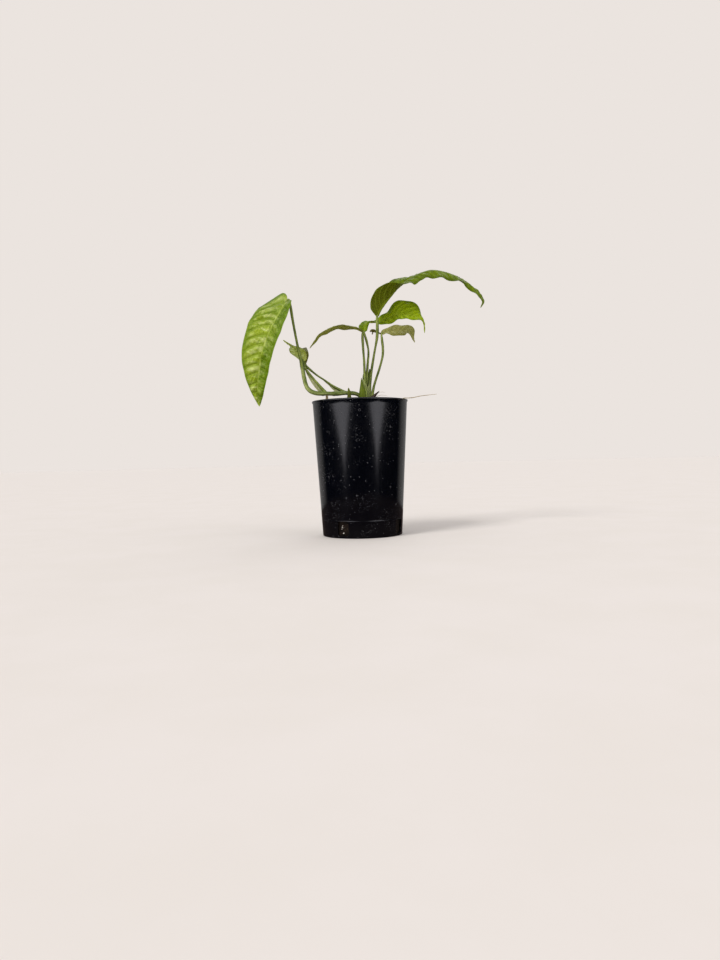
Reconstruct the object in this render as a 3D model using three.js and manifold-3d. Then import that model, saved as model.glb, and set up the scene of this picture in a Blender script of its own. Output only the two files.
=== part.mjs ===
// A young monstera in a small tapered nursery pot.
// Millimetres, +Z up. The origin is the centre of the pot's flat base. The front of the plant faces -Y.

import * as THREE from 'three';
import { ConvexGeometry } from 'three/addons/geometries/ConvexGeometry.js';
import { mergeVertices } from 'three/addons/utils/BufferGeometryUtils.js';
import Module from 'manifold-3d';

const wasm = await Module();
wasm.setup();

// ---------------------------------------------------------------------------------------------------
// Driving dimensions
// ---------------------------------------------------------------------------------------------------

const CLEARANCE = 0.3; // gap kept between pieces that meet

const POT_HEIGHT = 112;
const POT_RIM_RADIUS = 40; // outside of the lip
const POT_BASE_RADIUS = 33.2;
const POT_WALL = 1.2;
const POT_FLOOR = 1.5;
const POT_FOOT_CHAMFER = 0.8;
const POT_SIDES = 64;
const LIP_HEIGHT = 1.6;
const LIP_PROUD = 0.5;

const DRAIN_COUNT = 4;
const DRAIN_WIDTH = 10;
const DRAIN_HEIGHT = 12;
const DRAIN_SILL = 2; // height of the slots' lower edge
const DRAIN_CORNER = 2;
const DRAIN_TURN = -28; // degrees from the front to the first slot

const MIX_CROWN_DROP = 1; // from the rim down to the mix around the stems
const MIX_EDGE_DROP = 8; // from the rim down to the mix at the wall
const MIX_PLATEAU = 17; // radius of the flat top around the stems
const MIX_SLOPE_END = 29; // radius where the mound has run down to the edge level
const MIX_SIDES = 48;

const LEAF_THICKNESS = 0.7;
const LEAF_ROUND = 0.12; // share of a blade's length over which its base lobes fade
const STEM_SIDES = 8;
const VINE_RADIUS = 1.9;
const VINE_HEIGHT = 6.1; // of the vine's middle, above the rim that it passes over
const FIBRE_SIDES = 6;
const FIBRE_RADIUS = 0.3;
const FOOT_RADIUS = 2; // room that a stem's end takes on the mix
const PETIOLE_TIP = 0.9; // about the radius of a petiole where it meets its blade

const CHIP_SPOTS = 26; // spots spread over the mix, of which the free ones get a bark chip or a perlite
const CHIP_INNER = 13;
const CHIP_REACH = 4.5; // from the middle of the longest chip to its end
const PERLITE_EVERY = 4; // every fourth spot holds perlite
const SPROUT_SPACE = 8.5; // chips stay this far from the middle of a stem's foot

// The open space for watering, which chips stay out of: lowest and highest x and y
const WATERING = { x: [29, 36.5], y: [-6, 8] };

const COLOURS = {
  pot: { color: 0x17181c, roughness: 0.22, metalness: 0 },
  mix: { color: 0x2f2318, roughness: 0.95, metalness: 0 },
  bark: { color: 0x5b3d24, roughness: 0.9, metalness: 0 },
  perlite: { color: 0xe6e2da, roughness: 0.9, metalness: 0 },
  lightLeaf: { color: 0x8aa63c, roughness: 0.45, metalness: 0 },
  midLeaf: { color: 0x5f8a22, roughness: 0.45, metalness: 0 },
  darkLeaf: { color: 0x4d641d, roughness: 0.5, metalness: 0 },
  greyLeaf: { color: 0x8c9668, roughness: 0.55, metalness: 0 },
  stem: { color: 0x5f7a3a, roughness: 0.5, metalness: 0 },
  sheath: { color: 0xa3ab78, roughness: 0.6, metalness: 0 },
  dryStem: { color: 0x6d5535, roughness: 0.85, metalness: 0 },
  root: { color: 0x9a8a5e, roughness: 0.85, metalness: 0 },
};

// ---------------------------------------------------------------------------------------------------
// Helpers: closed meshes, cuts and values along a length
// ---------------------------------------------------------------------------------------------------

const object = new THREE.Group();
const plant = new THREE.Group(); // stems, leaves and roots, measured from the middle of the rim
plant.position.z = POT_HEIGHT;
object.add(plant);

/** Shared vertices and no collapsed faces, which is what a closed body needs. */
function weld(geometry) {
  const bare = new THREE.BufferGeometry();
  bare.setAttribute('position', geometry.getAttribute('position').clone());
  if (geometry.index) bare.setIndex(geometry.index.clone());
  const merged = mergeVertices(bare, 1e-4);
  const kept = [];
  const { array } = merged.index;
  for (let i = 0; i < array.length; i += 3) {
    const [a, b, c] = [array[i], array[i + 1], array[i + 2]];
    if (a !== b && b !== c && c !== a) kept.push(a, b, c);
  }
  merged.setIndex(kept);
  return merged;
}

function toSolid(geometry) {
  const welded = weld(geometry);
  const vertProperties = new Float32Array(welded.getAttribute('position').array);
  const triVerts = new Uint32Array(welded.index.array);
  return new wasm.Manifold(new wasm.Mesh({ numProp: 3, vertProperties, triVerts }));
}

function toGeometry(solid) {
  const { vertProperties, triVerts } = solid.getMesh();
  const geometry = new THREE.BufferGeometry();
  geometry.setAttribute('position', new THREE.BufferAttribute(vertProperties, 3));
  geometry.setIndex(new THREE.BufferAttribute(triVerts, 1));
  return geometry;
}

function addPiece(parent, name, geometry, look) {
  const welded = weld(geometry);
  welded.computeVertexNormals();
  const mesh = new THREE.Mesh(welded, new THREE.MeshStandardMaterial(COLOURS[look]));
  mesh.name = name;
  parent.add(mesh);
  return mesh;
}

function vectors(list) {
  return list.map(([x, y, z]) => new THREE.Vector3(x, y, z));
}

function smoothCurve(list) {
  return new THREE.CatmullRomCurve3(vectors(list), false, 'catmullrom', 0.5);
}

/** A smooth function of 0 to 1 through evenly spaced values. */
function along(values) {
  const list = typeof values === 'number' ? [values, values] : values;
  const curve = smoothCurve(list.map((value) => [value, 0, 0]));
  return (share) => curve.getPoint(share).x;
}

/** The same random numbers at every build. */
function seededRandom(seed) {
  let state = seed;
  return () => {
    state = (state * 1664525 + 1013904223) % 4294967296;
    return state / 4294967296;
  };
}

// ---------------------------------------------------------------------------------------------------
// Pot
// ---------------------------------------------------------------------------------------------------

const bodyRimRadius = POT_RIM_RADIUS - LIP_PROUD;

/** Outer radius of the pot's plain wall at a height. */
function wallRadius(height) {
  return POT_BASE_RADIUS + (bodyRimRadius - POT_BASE_RADIUS) * (height / POT_HEIGHT);
}

function lathe(profile, sides) {
  const points = profile.map(([radius, height]) => new THREE.Vector2(radius, height));
  return new THREE.LatheGeometry(points, sides).rotateX(Math.PI / 2);
}

function potShell() {
  const lipFoot = POT_HEIGHT - LIP_HEIGHT;
  return lathe([
    [0, 0],
    [wallRadius(0) - POT_FOOT_CHAMFER, 0],
    [wallRadius(POT_FOOT_CHAMFER), POT_FOOT_CHAMFER],
    [wallRadius(lipFoot), lipFoot],
    [POT_RIM_RADIUS, lipFoot + LIP_PROUD],
    [POT_RIM_RADIUS, POT_HEIGHT],
    [wallRadius(POT_HEIGHT) - POT_WALL, POT_HEIGHT],
    [wallRadius(POT_FLOOR) - POT_WALL, POT_FLOOR],
    [0, POT_FLOOR],
  ], POT_SIDES);
}

/** A block with rounded corners, long enough to pass right through the wall at one side of the pot. */
function drainCutter(turn) {
  const half = DRAIN_WIDTH / 2;
  const outline = new THREE.Shape();
  outline.moveTo(-half + DRAIN_CORNER, 0);
  outline.lineTo(half - DRAIN_CORNER, 0);
  outline.absarc(half - DRAIN_CORNER, DRAIN_CORNER, DRAIN_CORNER, -Math.PI / 2, 0);
  outline.absarc(half - DRAIN_CORNER, DRAIN_HEIGHT - DRAIN_CORNER, DRAIN_CORNER, 0, Math.PI / 2);
  outline.absarc(-half + DRAIN_CORNER, DRAIN_HEIGHT - DRAIN_CORNER, DRAIN_CORNER, Math.PI / 2, Math.PI);
  outline.absarc(-half + DRAIN_CORNER, DRAIN_CORNER, DRAIN_CORNER, Math.PI, 1.5 * Math.PI);
  const reach = POT_BASE_RADIUS / 2;
  const block = new THREE.ExtrudeGeometry(outline, { depth: reach, bevelEnabled: false, curveSegments: 3 });
  block.rotateX(Math.PI / 2);
  block.translate(0, -(POT_BASE_RADIUS - reach / 2), DRAIN_SILL);
  block.rotateZ(THREE.MathUtils.degToRad(turn));
  return block;
}

function nurseryPot() {
  let pot = toSolid(potShell());
  for (let i = 0; i < DRAIN_COUNT; i += 1) {
    const turn = DRAIN_TURN + (i * 360) / DRAIN_COUNT;
    pot = pot.subtract(toSolid(drainCutter(turn)));
  }
  return toGeometry(pot);
}

addPiece(object, 'nursery_pot', nurseryPot(), 'pot');

// ---------------------------------------------------------------------------------------------------
// Potting mix, bark chips and perlite
// ---------------------------------------------------------------------------------------------------

/** Height of the mix, from the rim plane, at a distance from the pot's axis. */
function mixTop(radius) {
  const share = THREE.MathUtils.smoothstep(radius, MIX_PLATEAU, MIX_SLOPE_END);
  return -THREE.MathUtils.lerp(MIX_CROWN_DROP, MIX_EDGE_DROP, share);
}

/** Radius of the mix at a height: it fills the pot to the clearance. */
function mixRadius(height) {
  return wallRadius(height) - POT_WALL - CLEARANCE;
}

function pottingMix() {
  const floor = POT_FLOOR + CLEARANCE;
  const edge = POT_HEIGHT - MIX_EDGE_DROP;
  const profile = [
    [0, floor],
    [mixRadius(floor), floor],
    [mixRadius(edge), edge],
  ];
  const steps = 5;
  for (let i = 0; i <= steps; i += 1) {
    const radius = THREE.MathUtils.lerp(MIX_SLOPE_END, MIX_PLATEAU, i / steps);
    profile.push([radius, POT_HEIGHT + mixTop(radius)]);
  }
  profile.push([0, POT_HEIGHT - MIX_CROWN_DROP]);
  return lathe(profile, MIX_SIDES);
}

addPiece(object, 'potting_mix', pottingMix(), 'mix');

/** A chunk with flat broken sides: the hull of points scattered over a flattened ball. */
function chunk([length, width, height], random) {
  const points = [];
  const rings = 3;
  const perRing = 6;
  for (let i = 0; i < rings; i += 1) {
    const level = (i / (rings - 1)) * 2 - 1;
    const spread = Math.sqrt(1 - (0.75 * level) ** 2);
    for (let j = 0; j < perRing; j += 1) {
      const angle = ((j + random() * 0.8) / perRing) * 2 * Math.PI;
      const x = (length / 2) * spread * Math.cos(angle);
      const y = (width / 2) * spread * Math.sin(angle);
      points.push(new THREE.Vector3(x, y, (height / 2) * level * (0.75 + 0.25 * random())));
    }
  }
  return new ConvexGeometry(points);
}

/** Lays a chunk along the mix's slope, and lifts it until its lowest corner is just clear. */
function layOnMix(geometry, x, y) {
  const radius = Math.hypot(x, y);
  const slope = Math.atan2(mixTop(radius - 1) - mixTop(radius + 1), 2);
  const outwards = new THREE.Vector3(x, y, 0).normalize();
  const axis = new THREE.Vector3(0, 0, 1).cross(outwards);
  geometry.applyQuaternion(new THREE.Quaternion().setFromAxisAngle(axis, slope));
  geometry.translate(x, y, 0);
  const corners = geometry.getAttribute('position');
  let lowest = Infinity;
  for (let i = 0; i < corners.count; i += 1) {
    const top = mixTop(Math.hypot(corners.getX(i), corners.getY(i)));
    lowest = Math.min(lowest, corners.getZ(i) - top);
  }
  return geometry.translate(0, 0, CLEARANCE - lowest);
}

// Where stems and roots stand in the mix, measured from the pot's axis
const FEET = {
  vine: [2, 6],
  sheath: [5.3, -2],
  topArch: [8, 3.5],
  back: [10, 12],
  shoot: [2.1, -8],
  stub: [-8.4, -9],
  airRoot: [-27.5, -5.5],
  sliver: [8.8, -7],
  fibre: [24, -9],
};

/** The point, on the mix, where a stem's end stands: clear of the mound's higher side. */
function foot([x, y]) {
  return [x, y, mixTop(Math.hypot(x, y) - FOOT_RADIUS) + CLEARANCE];
}

function isFree(x, y) {
  const isWithin = (value, [low, high]) => value > low - CHIP_REACH && value < high + CHIP_REACH;
  const inWatering = isWithin(x, WATERING.x) && isWithin(y, WATERING.y);
  const nearStem = Object.values(FEET).some((place) => Math.hypot(x - place[0], y - place[1]) < SPROUT_SPACE);
  return !inWatering && !nearStem;
}

function scatterOnMix() {
  const random = seededRandom(7);
  const outer = mixRadius(POT_HEIGHT - MIX_EDGE_DROP) - CHIP_REACH;
  const goldenAngle = Math.PI * (3 - Math.sqrt(5));
  let chips = 0;
  let perlites = 0;
  for (let i = 0; i < CHIP_SPOTS; i += 1) {
    const share = (i + 0.5) / CHIP_SPOTS;
    const radius = Math.sqrt(THREE.MathUtils.lerp(CHIP_INNER ** 2, outer ** 2, share));
    const x = radius * Math.cos(i * goldenAngle);
    const y = radius * Math.sin(i * goldenAngle);
    const isPerlite = i % PERLITE_EVERY === PERLITE_EVERY - 1;
    const size = isPerlite
      ? [3 + random(), 2.6 + random(), 2.4 + random() * 0.6]
      : [6.5 + 2 * random(), 4 + 1.5 * random(), 2 + 1.2 * random()];
    const turn = random() * Math.PI;
    const piece = chunk(size, random).rotateZ(turn);
    if (!isFree(x, y)) continue;
    if (isPerlite) {
      perlites += 1;
      addPiece(plant, `perlite_${perlites}`, layOnMix(piece, x, y), 'perlite');
    } else {
      chips += 1;
      addPiece(plant, `bark_chip_${chips}`, layOnMix(piece, x, y), 'bark');
    }
  }
}

scatterOnMix();

// ---------------------------------------------------------------------------------------------------
// Stems: round closed sweeps whose radius changes along the length
// ---------------------------------------------------------------------------------------------------

/**
 * A closed sweep through points. Radii are evenly spaced along it, stopShort is cut off its far end,
 * and a stem that stands on the mix starts with a level end. grow adds to every radius.
 */
function sweep({ through, radii, steps, sides = STEM_SIDES, stopShort = 0, stands = false }, grow = 0) {
  const curve = smoothCurve(through);
  const end = 1 - stopShort / curve.getLength();
  const radiusAt = along(radii);
  const reference = new THREE.Vector3(0.1, 1, 0.05);
  const positions = [];
  const indices = [];
  for (let i = 0; i <= steps; i += 1) {
    const share = (i / steps) * end;
    const centre = curve.getPointAt(share);
    const tangent = curve.getTangentAt(share);
    const across = new THREE.Vector3().crossVectors(tangent, reference).normalize();
    const up = new THREE.Vector3().crossVectors(tangent, across);
    const radius = Math.max(radiusAt(i / steps), 0.1) + grow;
    for (let j = 0; j < sides; j += 1) {
      const angle = (j / sides) * 2 * Math.PI;
      const point = centre.clone();
      point.addScaledVector(across, radius * Math.cos(angle));
      point.addScaledVector(up, radius * Math.sin(angle));
      if (stands && i === 0) point.z = centre.z;
      positions.push(point.x, point.y, point.z);
    }
  }
  for (let i = 0; i < steps; i += 1) {
    for (let j = 0; j < sides; j += 1) {
      const a = i * sides + j;
      const b = i * sides + ((j + 1) % sides);
      indices.push(a, b, a + sides, b, b + sides, a + sides);
    }
  }
  const last = steps * sides;
  for (let j = 1; j < sides - 1; j += 1) {
    indices.push(0, j + 1, j);
    indices.push(last, last + j, last + j + 1);
  }
  const geometry = new THREE.BufferGeometry();
  geometry.setAttribute('position', new THREE.BufferAttribute(new Float32Array(positions), 3));
  geometry.setIndex(indices);
  return geometry;
}

/** A sweep with its neighbour's space cut out of it. */
function sweepClearOf(stem, neighbour) {
  return toGeometry(toSolid(sweep(stem)).subtract(toSolid(sweep(neighbour, CLEARANCE))));
}

// The climbing stem: up out of the mix, along over the rim on the left, then turning upwards
const vine = {
  through: [
    foot(FEET.vine), [1.5, 5.6, 3], [-3, 3.5, 6.3], [-11, 0, VINE_HEIGHT + 0.8], [-19.5, -4, VINE_HEIGHT],
    [-28, -8, VINE_HEIGHT], [-35, -10, VINE_HEIGHT + 0.2], [-40.3, -11.5, 8.1], [-43.6, -12, 12.4],
    [-45.3, -12, 19.3], [-46.6, -12, 29],
  ],
  radii: [1.7, 1.7, 1.8, VINE_RADIUS, VINE_RADIUS, VINE_RADIUS, VINE_RADIUS, 1.8, 1.6],
  steps: 34,
  stands: true,
};
addPiece(plant, 'vine_stem', sweep(vine), 'stem');

// Bases of the blades, where each petiole ends
const bladeGap = LEAF_THICKNESS / 2 + CLEARANCE;
const turnedGap = bladeGap + PETIOLE_TIP; // where the blade turns sharply away from its petiole
const DROOPING_BASE = [-57, -14, 82];
const CUPPED_BASE = [-45.6, -9, 32.5];
const SHADED_BASE = [-44.2, -6.2, 31.5];
const LEFT_ARCH_BASE = [4, -4.4, 57];
const RIGHT_BASE = [5, -0.6, 57];
const TOP_ARCH_BASE = [15.9, -4, 68.3];
const BACK_BASE = [20.4, 28, 60];

const petioles = {
  petiole_drooping: {
    through: [
      [-46.7, -12, 29.4], [-47.6, -12.2, 34], [-49.2, -12.5, 41.8], [-50.9, -13, 51.5],
      [-53.1, -13.5, 65.2], [-54.8, -14, 78], [-55.7, -14, 82.6], DROOPING_BASE,
    ],
    radii: [1.6, 1.2, 1.1, 1, 1, 1.1, 0.9],
    steps: 26,
    stopShort: bladeGap,
  },
  petiole_left_arch: {
    through: [[4.5, -3.4, 23.4], [4.4, -3.4, 32], [3.7, -4, 45], [3.5, -4.4, 53.4], LEFT_ARCH_BASE],
    radii: [1.1, 1, 1, 1, PETIOLE_TIP],
    steps: 14,
    stopShort: turnedGap,
  },
  petiole_right: {
    through: [[6.7, -0.6, 23.4], [7.6, 0.6, 32.5], [8.3, 1, 40.8], [7.2, 0.4, 48.5], RIGHT_BASE],
    radii: [1.1, 1.1, 1, 0.9, PETIOLE_TIP],
    steps: 14,
    stopShort: bladeGap,
  },
  petiole_top_arch: {
    through: [
      foot(FEET.topArch), [8.5, 3.5, 14.3], [10.5, 3, 26], [13.3, 1, 40.7], [15.5, -2, 51.8],
      [16, -4, 61.3], TOP_ARCH_BASE,
    ],
    radii: [1.9, 1.7, 1.2, 1, 0.9, 1.2, 1.2],
    steps: 22,
    stands: true,
    stopShort: bladeGap,
  },
  petiole_back: {
    through: [
      foot(FEET.back), [12.5, 14, 13.6], [17.2, 18, 27.6], [20.4, 22, 38.4], [21.2, 24, 45.5],
      [20.7, 26.6, 54.6], BACK_BASE,
    ],
    radii: [1.4, 1.1, 1, 1, 1, 1, 0.8],
    steps: 20,
    stands: true,
    stopShort: turnedGap,
  },
};
for (const [name, stem] of Object.entries(petioles)) addPiece(plant, name, sweep(stem), 'stem');

// Two petioles that spring from the side of the climbing stem, each widened by its sheath
const sideShoots = {
  petiole_cupped: {
    through: [[-26.5, -7.5, 6.2], [-31, -8.5, 9.6], [-35, -9.2, 14], [-40.5, -9.4, 20.5], [-44.4, -9, 27],
      CUPPED_BASE],
    radii: [1.2, 2.1, 2, 1.5, 1.1, 0.9],
    steps: 16,
    stopShort: bladeGap,
  },
  petiole_shaded: {
    through: [[-8.5, 1.2, 6.8], [-13, 2.6, 9], [-18, 1.6, 11.1], [-25, -1, 14.4], [-34.2, -4.2, 21.1],
      SHADED_BASE],
    radii: [1.2, 2, 1.9, 1.3, 0.9, 0.8],
    steps: 18,
    stopShort: turnedGap,
  },
};
for (const [name, stem] of Object.entries(sideShoots)) {
  addPiece(plant, name, sweepClearOf(stem, vine), 'stem');
}

// Sheath that wraps two petioles at the crown, a new shoot, and the stub of a lost leaf
addPiece(plant, 'crown_sheath', sweep({
  through: [foot(FEET.sheath), [5.4, -2, 10.5], [5.6, -2, 18.8], [5.6, -2, 23.1]],
  radii: [3.1, 2.8, 2.4, 2.2],
  steps: 8,
  stands: true,
}), 'sheath');
addPiece(plant, 'new_shoot', sweep({
  through: [foot(FEET.shoot), [2.3, -8.5, 7.5], [2.1, -9, 13.2], [1.7, -9, 18.2]],
  radii: [3, 3, 2, 0.3],
  steps: 8,
  stands: true,
}), 'stem');
addPiece(plant, 'petiole_stub', sweep({
  through: [foot(FEET.stub), [-8.7, -9.4, 5.2], [-9, -10, 10.3]],
  radii: [2.2, 1.6, 0.7],
  steps: 5,
  stands: true,
}), 'dryStem');
addPiece(plant, 'withered_bract', sweep({
  through: [[18.6, 27.4, 61], [16.8, 27.2, 62.1], [13.9, 27, 63], [10.4, 26, 62.3]],
  radii: [0.5, 0.9, 1.2, 0.4],
  steps: 7,
  sides: FIBRE_SIDES,
}), 'dryStem');

// Roots and a splinter of bark that stands up beside the crown
addPiece(plant, 'aerial_root', sweep({
  through: [[-27, -7, VINE_HEIGHT - VINE_RADIUS - CLEARANCE], [-27, -6.6, 1], foot(FEET.airRoot)],
  radii: [1, 1.1, 0.9],
  steps: 6,
}), 'root');
addPiece(plant, 'bark_sliver', sweep({
  through: [foot(FEET.sliver), [9, -6.9, 0.8], [12, -6, 3.6], [16.2, -4.5, 7.4]],
  radii: [1.2, 1.5, 1.2, 0.3],
  steps: 7,
  stands: true,
  sides: FIBRE_SIDES,
}), 'bark');
const overRim = CLEARANCE + FIBRE_RADIUS;
addPiece(plant, 'root_fibre', sweep({
  through: [
    foot(FEET.fibre), [POT_RIM_RADIUS - 9.5, -10.2, overRim - 2.4], [POT_RIM_RADIUS - 4.5, -11.3, overRim],
    [POT_RIM_RADIUS, -12.5, overRim], [POT_RIM_RADIUS + 9, -15, overRim + 0.9],
    [POT_RIM_RADIUS + 22.5, -19, overRim + 2],
  ],
  radii: FIBRE_RADIUS,
  steps: 16,
  sides: FIBRE_SIDES,
}), 'root');

// ---------------------------------------------------------------------------------------------------
// Leaves: closed blades along a midrib
// ---------------------------------------------------------------------------------------------------

/*
 * midrib      points from the blade's base to its tip
 * across      directions from the midrib to the right margin, evenly spaced along the blade
 * left, right half widths, evenly spaced along the blade
 * fold        degrees that a half rises towards the upper side, and curl what it bends on the way out
 * wave        height of the margin's waves, and waves their number
 * lobe        how far the right half of the base reaches back past the petiole
 */
const leaves = {
  leaf_drooping: {
    look: 'lightLeaf',
    midrib: [
      DROOPING_BASE, [-63.3, -18, 72], [-71, -21, 57], [-78, -21, 39.6], [-81.6, -18, 22.3],
      [-83.2, -14, 7.4], [-82.7, -10, -3.4],
    ],
    across: [[-0.97, 0.2, -0.5], [-0.97, 0.2, -0.1], [-0.97, 0.2, 0]],
    left: [6, 12.5, 14, 14.5, 13.5, 11.5, 8.3, 4.3, 0.3],
    right: [10, 19.5, 20.5, 19.5, 18.5, 16, 11.5, 6, 0.3],
    leftFold: [30, 38, 38, 38, 38, 38, 36, 30, 20],
    rightFold: 0,
    leftCurl: -8,
    rightCurl: -12,
    wave: 0.5,
    waves: 4,
    lobe: 6,
    rows: 26,
    columns: 4,
  },
  leaf_cupped: {
    look: 'midLeaf',
    midrib: [CUPPED_BASE, [-49.3, -5.5, 38], [-52.8, -1.5, 43.1], [-56.1, 2, 47.1], [-59.7, 4, 50],
      [-63.4, 5, 53]],
    across: [[0.75, 0.5, 0.3], [0.6, 0.5, 0.5], [0.3, 0.5, 0.8]],
    left: [0.8, 5, 6, 5.5, 1.6, 0.8, 0.3],
    right: [0.8, 5, 6.5, 5, 1.6, 0.8, 0.3],
    leftFold: 25,
    rightFold: 20,
    leftCurl: 0,
    rightCurl: -10,
    wave: 0.2,
    waves: 2,
    lobe: 0,
    rows: 14,
    columns: 3,
  },
  leaf_shaded: {
    look: 'darkLeaf',
    midrib: [SHADED_BASE, [-45, -3, 37.2], [-46.3, 2, 42.2], [-47.5, 9, 45.3], [-49.3, 16, 46.4],
      [-50.6, 21, 44.6]],
    across: [[0.9, 0.3, 0.2], [0.9, 0.3, 0.2]],
    left: [0.8, 3.5, 4.5, 4, 2.5, 0.3],
    right: [0.8, 3.5, 4, 3.7, 2.5, 0.3],
    leftFold: 10,
    rightFold: 10,
    leftCurl: 0,
    rightCurl: 0,
    wave: 0.2,
    waves: 2,
    lobe: 0,
    rows: 14,
    columns: 3,
  },
  leaf_left_arch: {
    look: 'darkLeaf',
    midrib: [LEFT_ARCH_BASE, [-1.7, -8, 59.5], [-9, -12, 60.3], [-17, -16, 59.6], [-24.4, -19, 56.7],
      [-31.7, -20, 51.5], [-39.7, -19, 41.8]],
    across: [[0, 0.98, 0.22], [0, 0.98, 0.2], [0, 0.98, 0.15]],
    left: [2, 7, 8, 7.5, 6, 3.5, 0.3],
    right: [2, 7, 8, 7.5, 6, 3.5, 0.3],
    leftFold: 10,
    rightFold: -4,
    leftCurl: -10,
    rightCurl: -20,
    wave: 0.4,
    waves: 3,
    lobe: 0,
    rows: 18,
    columns: 3,
  },
  leaf_right: {
    look: 'midLeaf',
    midrib: [
      RIGHT_BASE, [5.7, 2, 62.5], [7.9, 6, 66.9], [12, 11, 67.8], [18, 13, 68.6], [24.8, 13, 70.7],
      [33.4, 12, 73.4], [42.6, 10, 72.9], [51.3, 7, 69.4], [55.4, 6, 65.1], [56, 6, 56.3],
    ],
    across: [[0.95, 0.1, 0], [0.6, -0.4, -0.15], [0.05, -0.95, 0.1], [-0.05, -0.75, -0.55],
      [-0.2, -0.68, -0.65], [0, -0.78, -0.58], [0.05, -0.8, -0.55], [-0.2, -0.8, -0.45], [-0.7, -0.6, 0]],
    left: [2, 5.5, 5, 6, 10, 13, 12, 3, 0.3],
    right: [2, 5, 5.5, 7.5, 10.5, 10, 7, 2, 0.3],
    leftFold: [20, 30, 30, 35, 35, 40, 30, 20, 10],
    rightFold: [15, 0, -5, -15, -15, 0, 0, 0, 0],
    leftCurl: -15,
    rightCurl: -20,
    wave: 0.6,
    waves: 6,
    lobe: 0,
    rows: 30,
    columns: 3,
  },
  leaf_top_arch: {
    look: 'darkLeaf',
    midrib: [
      TOP_ARCH_BASE, [17, -1, 76.7], [20.6, 3, 84.9], [25.9, 6, 92.1], [32.9, 8, 98.1], [39.8, 9, 102.7],
      [49.2, 9, 107.1], [61.8, 8, 109.4], [74.3, 7, 107.3], [85, 6, 103.1], [94, 5, 96.8],
      [101.2, 4, 89.1], [105.4, 3, 81.3], [102.9, 3, 75.6],
    ],
    across: [[-0.5, -0.85, 0.25], [-0.4, -0.88, 0.23], [-0.2, -0.94, 0.25], [-0.05, -0.97, 0.1],
      [0, -0.8, -0.6], [0, -0.72, -0.7], [-0.1, -0.8, -0.6], [-0.5, -0.6, -0.5], [-0.7, -0.6, -0.1]],
    left: [2.5, 10, 10.5, 10.5, 11, 10, 8, 4.5, 0.3],
    right: [2.5, 10, 10, 10, 11, 11.5, 8, 4.5, 0.3],
    leftFold: [10, 5, 0, -10, -42, -45, -38, -25, 0],
    rightFold: [5, 5, 5, -5, 0, 0, 0, 0, 0],
    leftCurl: -10,
    rightCurl: -10,
    wave: 1.2,
    waves: 7,
    lobe: 0,
    rows: 36,
    columns: 3,
  },
  leaf_back: {
    look: 'greyLeaf',
    midrib: [BACK_BASE, [24.4, 30, 62], [30.7, 32, 63.1], [37.8, 33, 63.4], [43.9, 33, 63],
      [47.3, 32, 59.6], [49.5, 31, 52.4]],
    across: [[0, -0.7, -0.6], [0, -0.75, -0.6], [-0.4, -0.6, -0.6]],
    left: [1.5, 4.5, 6.5, 7.5, 7, 4.5, 0.3],
    right: [1.5, 4.5, 6, 6.5, 6, 4, 0.3],
    leftFold: 30,
    rightFold: 0,
    leftCurl: -20,
    rightCurl: -20,
    wave: 0.5,
    waves: 3,
    lobe: 0,
    rows: 18,
    columns: 3,
  },
};

/** Middle surface of a blade: rows of points from the left margin to the right one. */
function bladeSurface(leaf) {
  const midrib = smoothCurve(leaf.midrib);
  const across = smoothCurve(leaf.across);
  const halves = [
    { sign: -1, width: along(leaf.left), fold: along(leaf.leftFold), curl: along(leaf.leftCurl), lobe: 0 },
    { sign: 1, width: along(leaf.right), fold: along(leaf.rightFold), curl: along(leaf.rightCurl),
      lobe: leaf.lobe },
  ];
  const rows = [];
  for (let i = 0; i <= leaf.rows; i += 1) {
    const share = i / leaf.rows;
    const centre = midrib.getPointAt(share);
    const tangent = midrib.getTangentAt(share);
    const side = across.getPoint(share);
    side.addScaledVector(tangent, -side.dot(tangent)).normalize();
    const upper = new THREE.Vector3().crossVectors(side, tangent);
    const row = [];
    for (let j = -leaf.columns; j <= leaf.columns; j += 1) {
      const out = Math.abs(j) / leaf.columns;
      const half = halves[j < 0 ? 0 : 1];
      const width = Math.max(half.width(share), 0.05);
      const fold = THREE.MathUtils.degToRad(half.fold(share));
      const curl = THREE.MathUtils.degToRad(half.curl(share)) || 1e-3;
      const outward = (width * (Math.sin(fold + curl * out) - Math.sin(fold))) / curl;
      let rise = (width * (Math.cos(fold) - Math.cos(fold + curl * out))) / curl;
      rise += leaf.wave * out ** 2 * Math.min(1, width / 6) * Math.sin(2 * Math.PI * leaf.waves * share);
      const back = half.lobe * out * Math.exp(-((share / LEAF_ROUND) ** 1.5));
      const point = centre.clone();
      point.addScaledVector(side, half.sign * outward);
      point.addScaledVector(upper, rise);
      point.addScaledVector(tangent, -back);
      row.push(point);
    }
    rows.push(row);
  }
  return rows;
}

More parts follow.
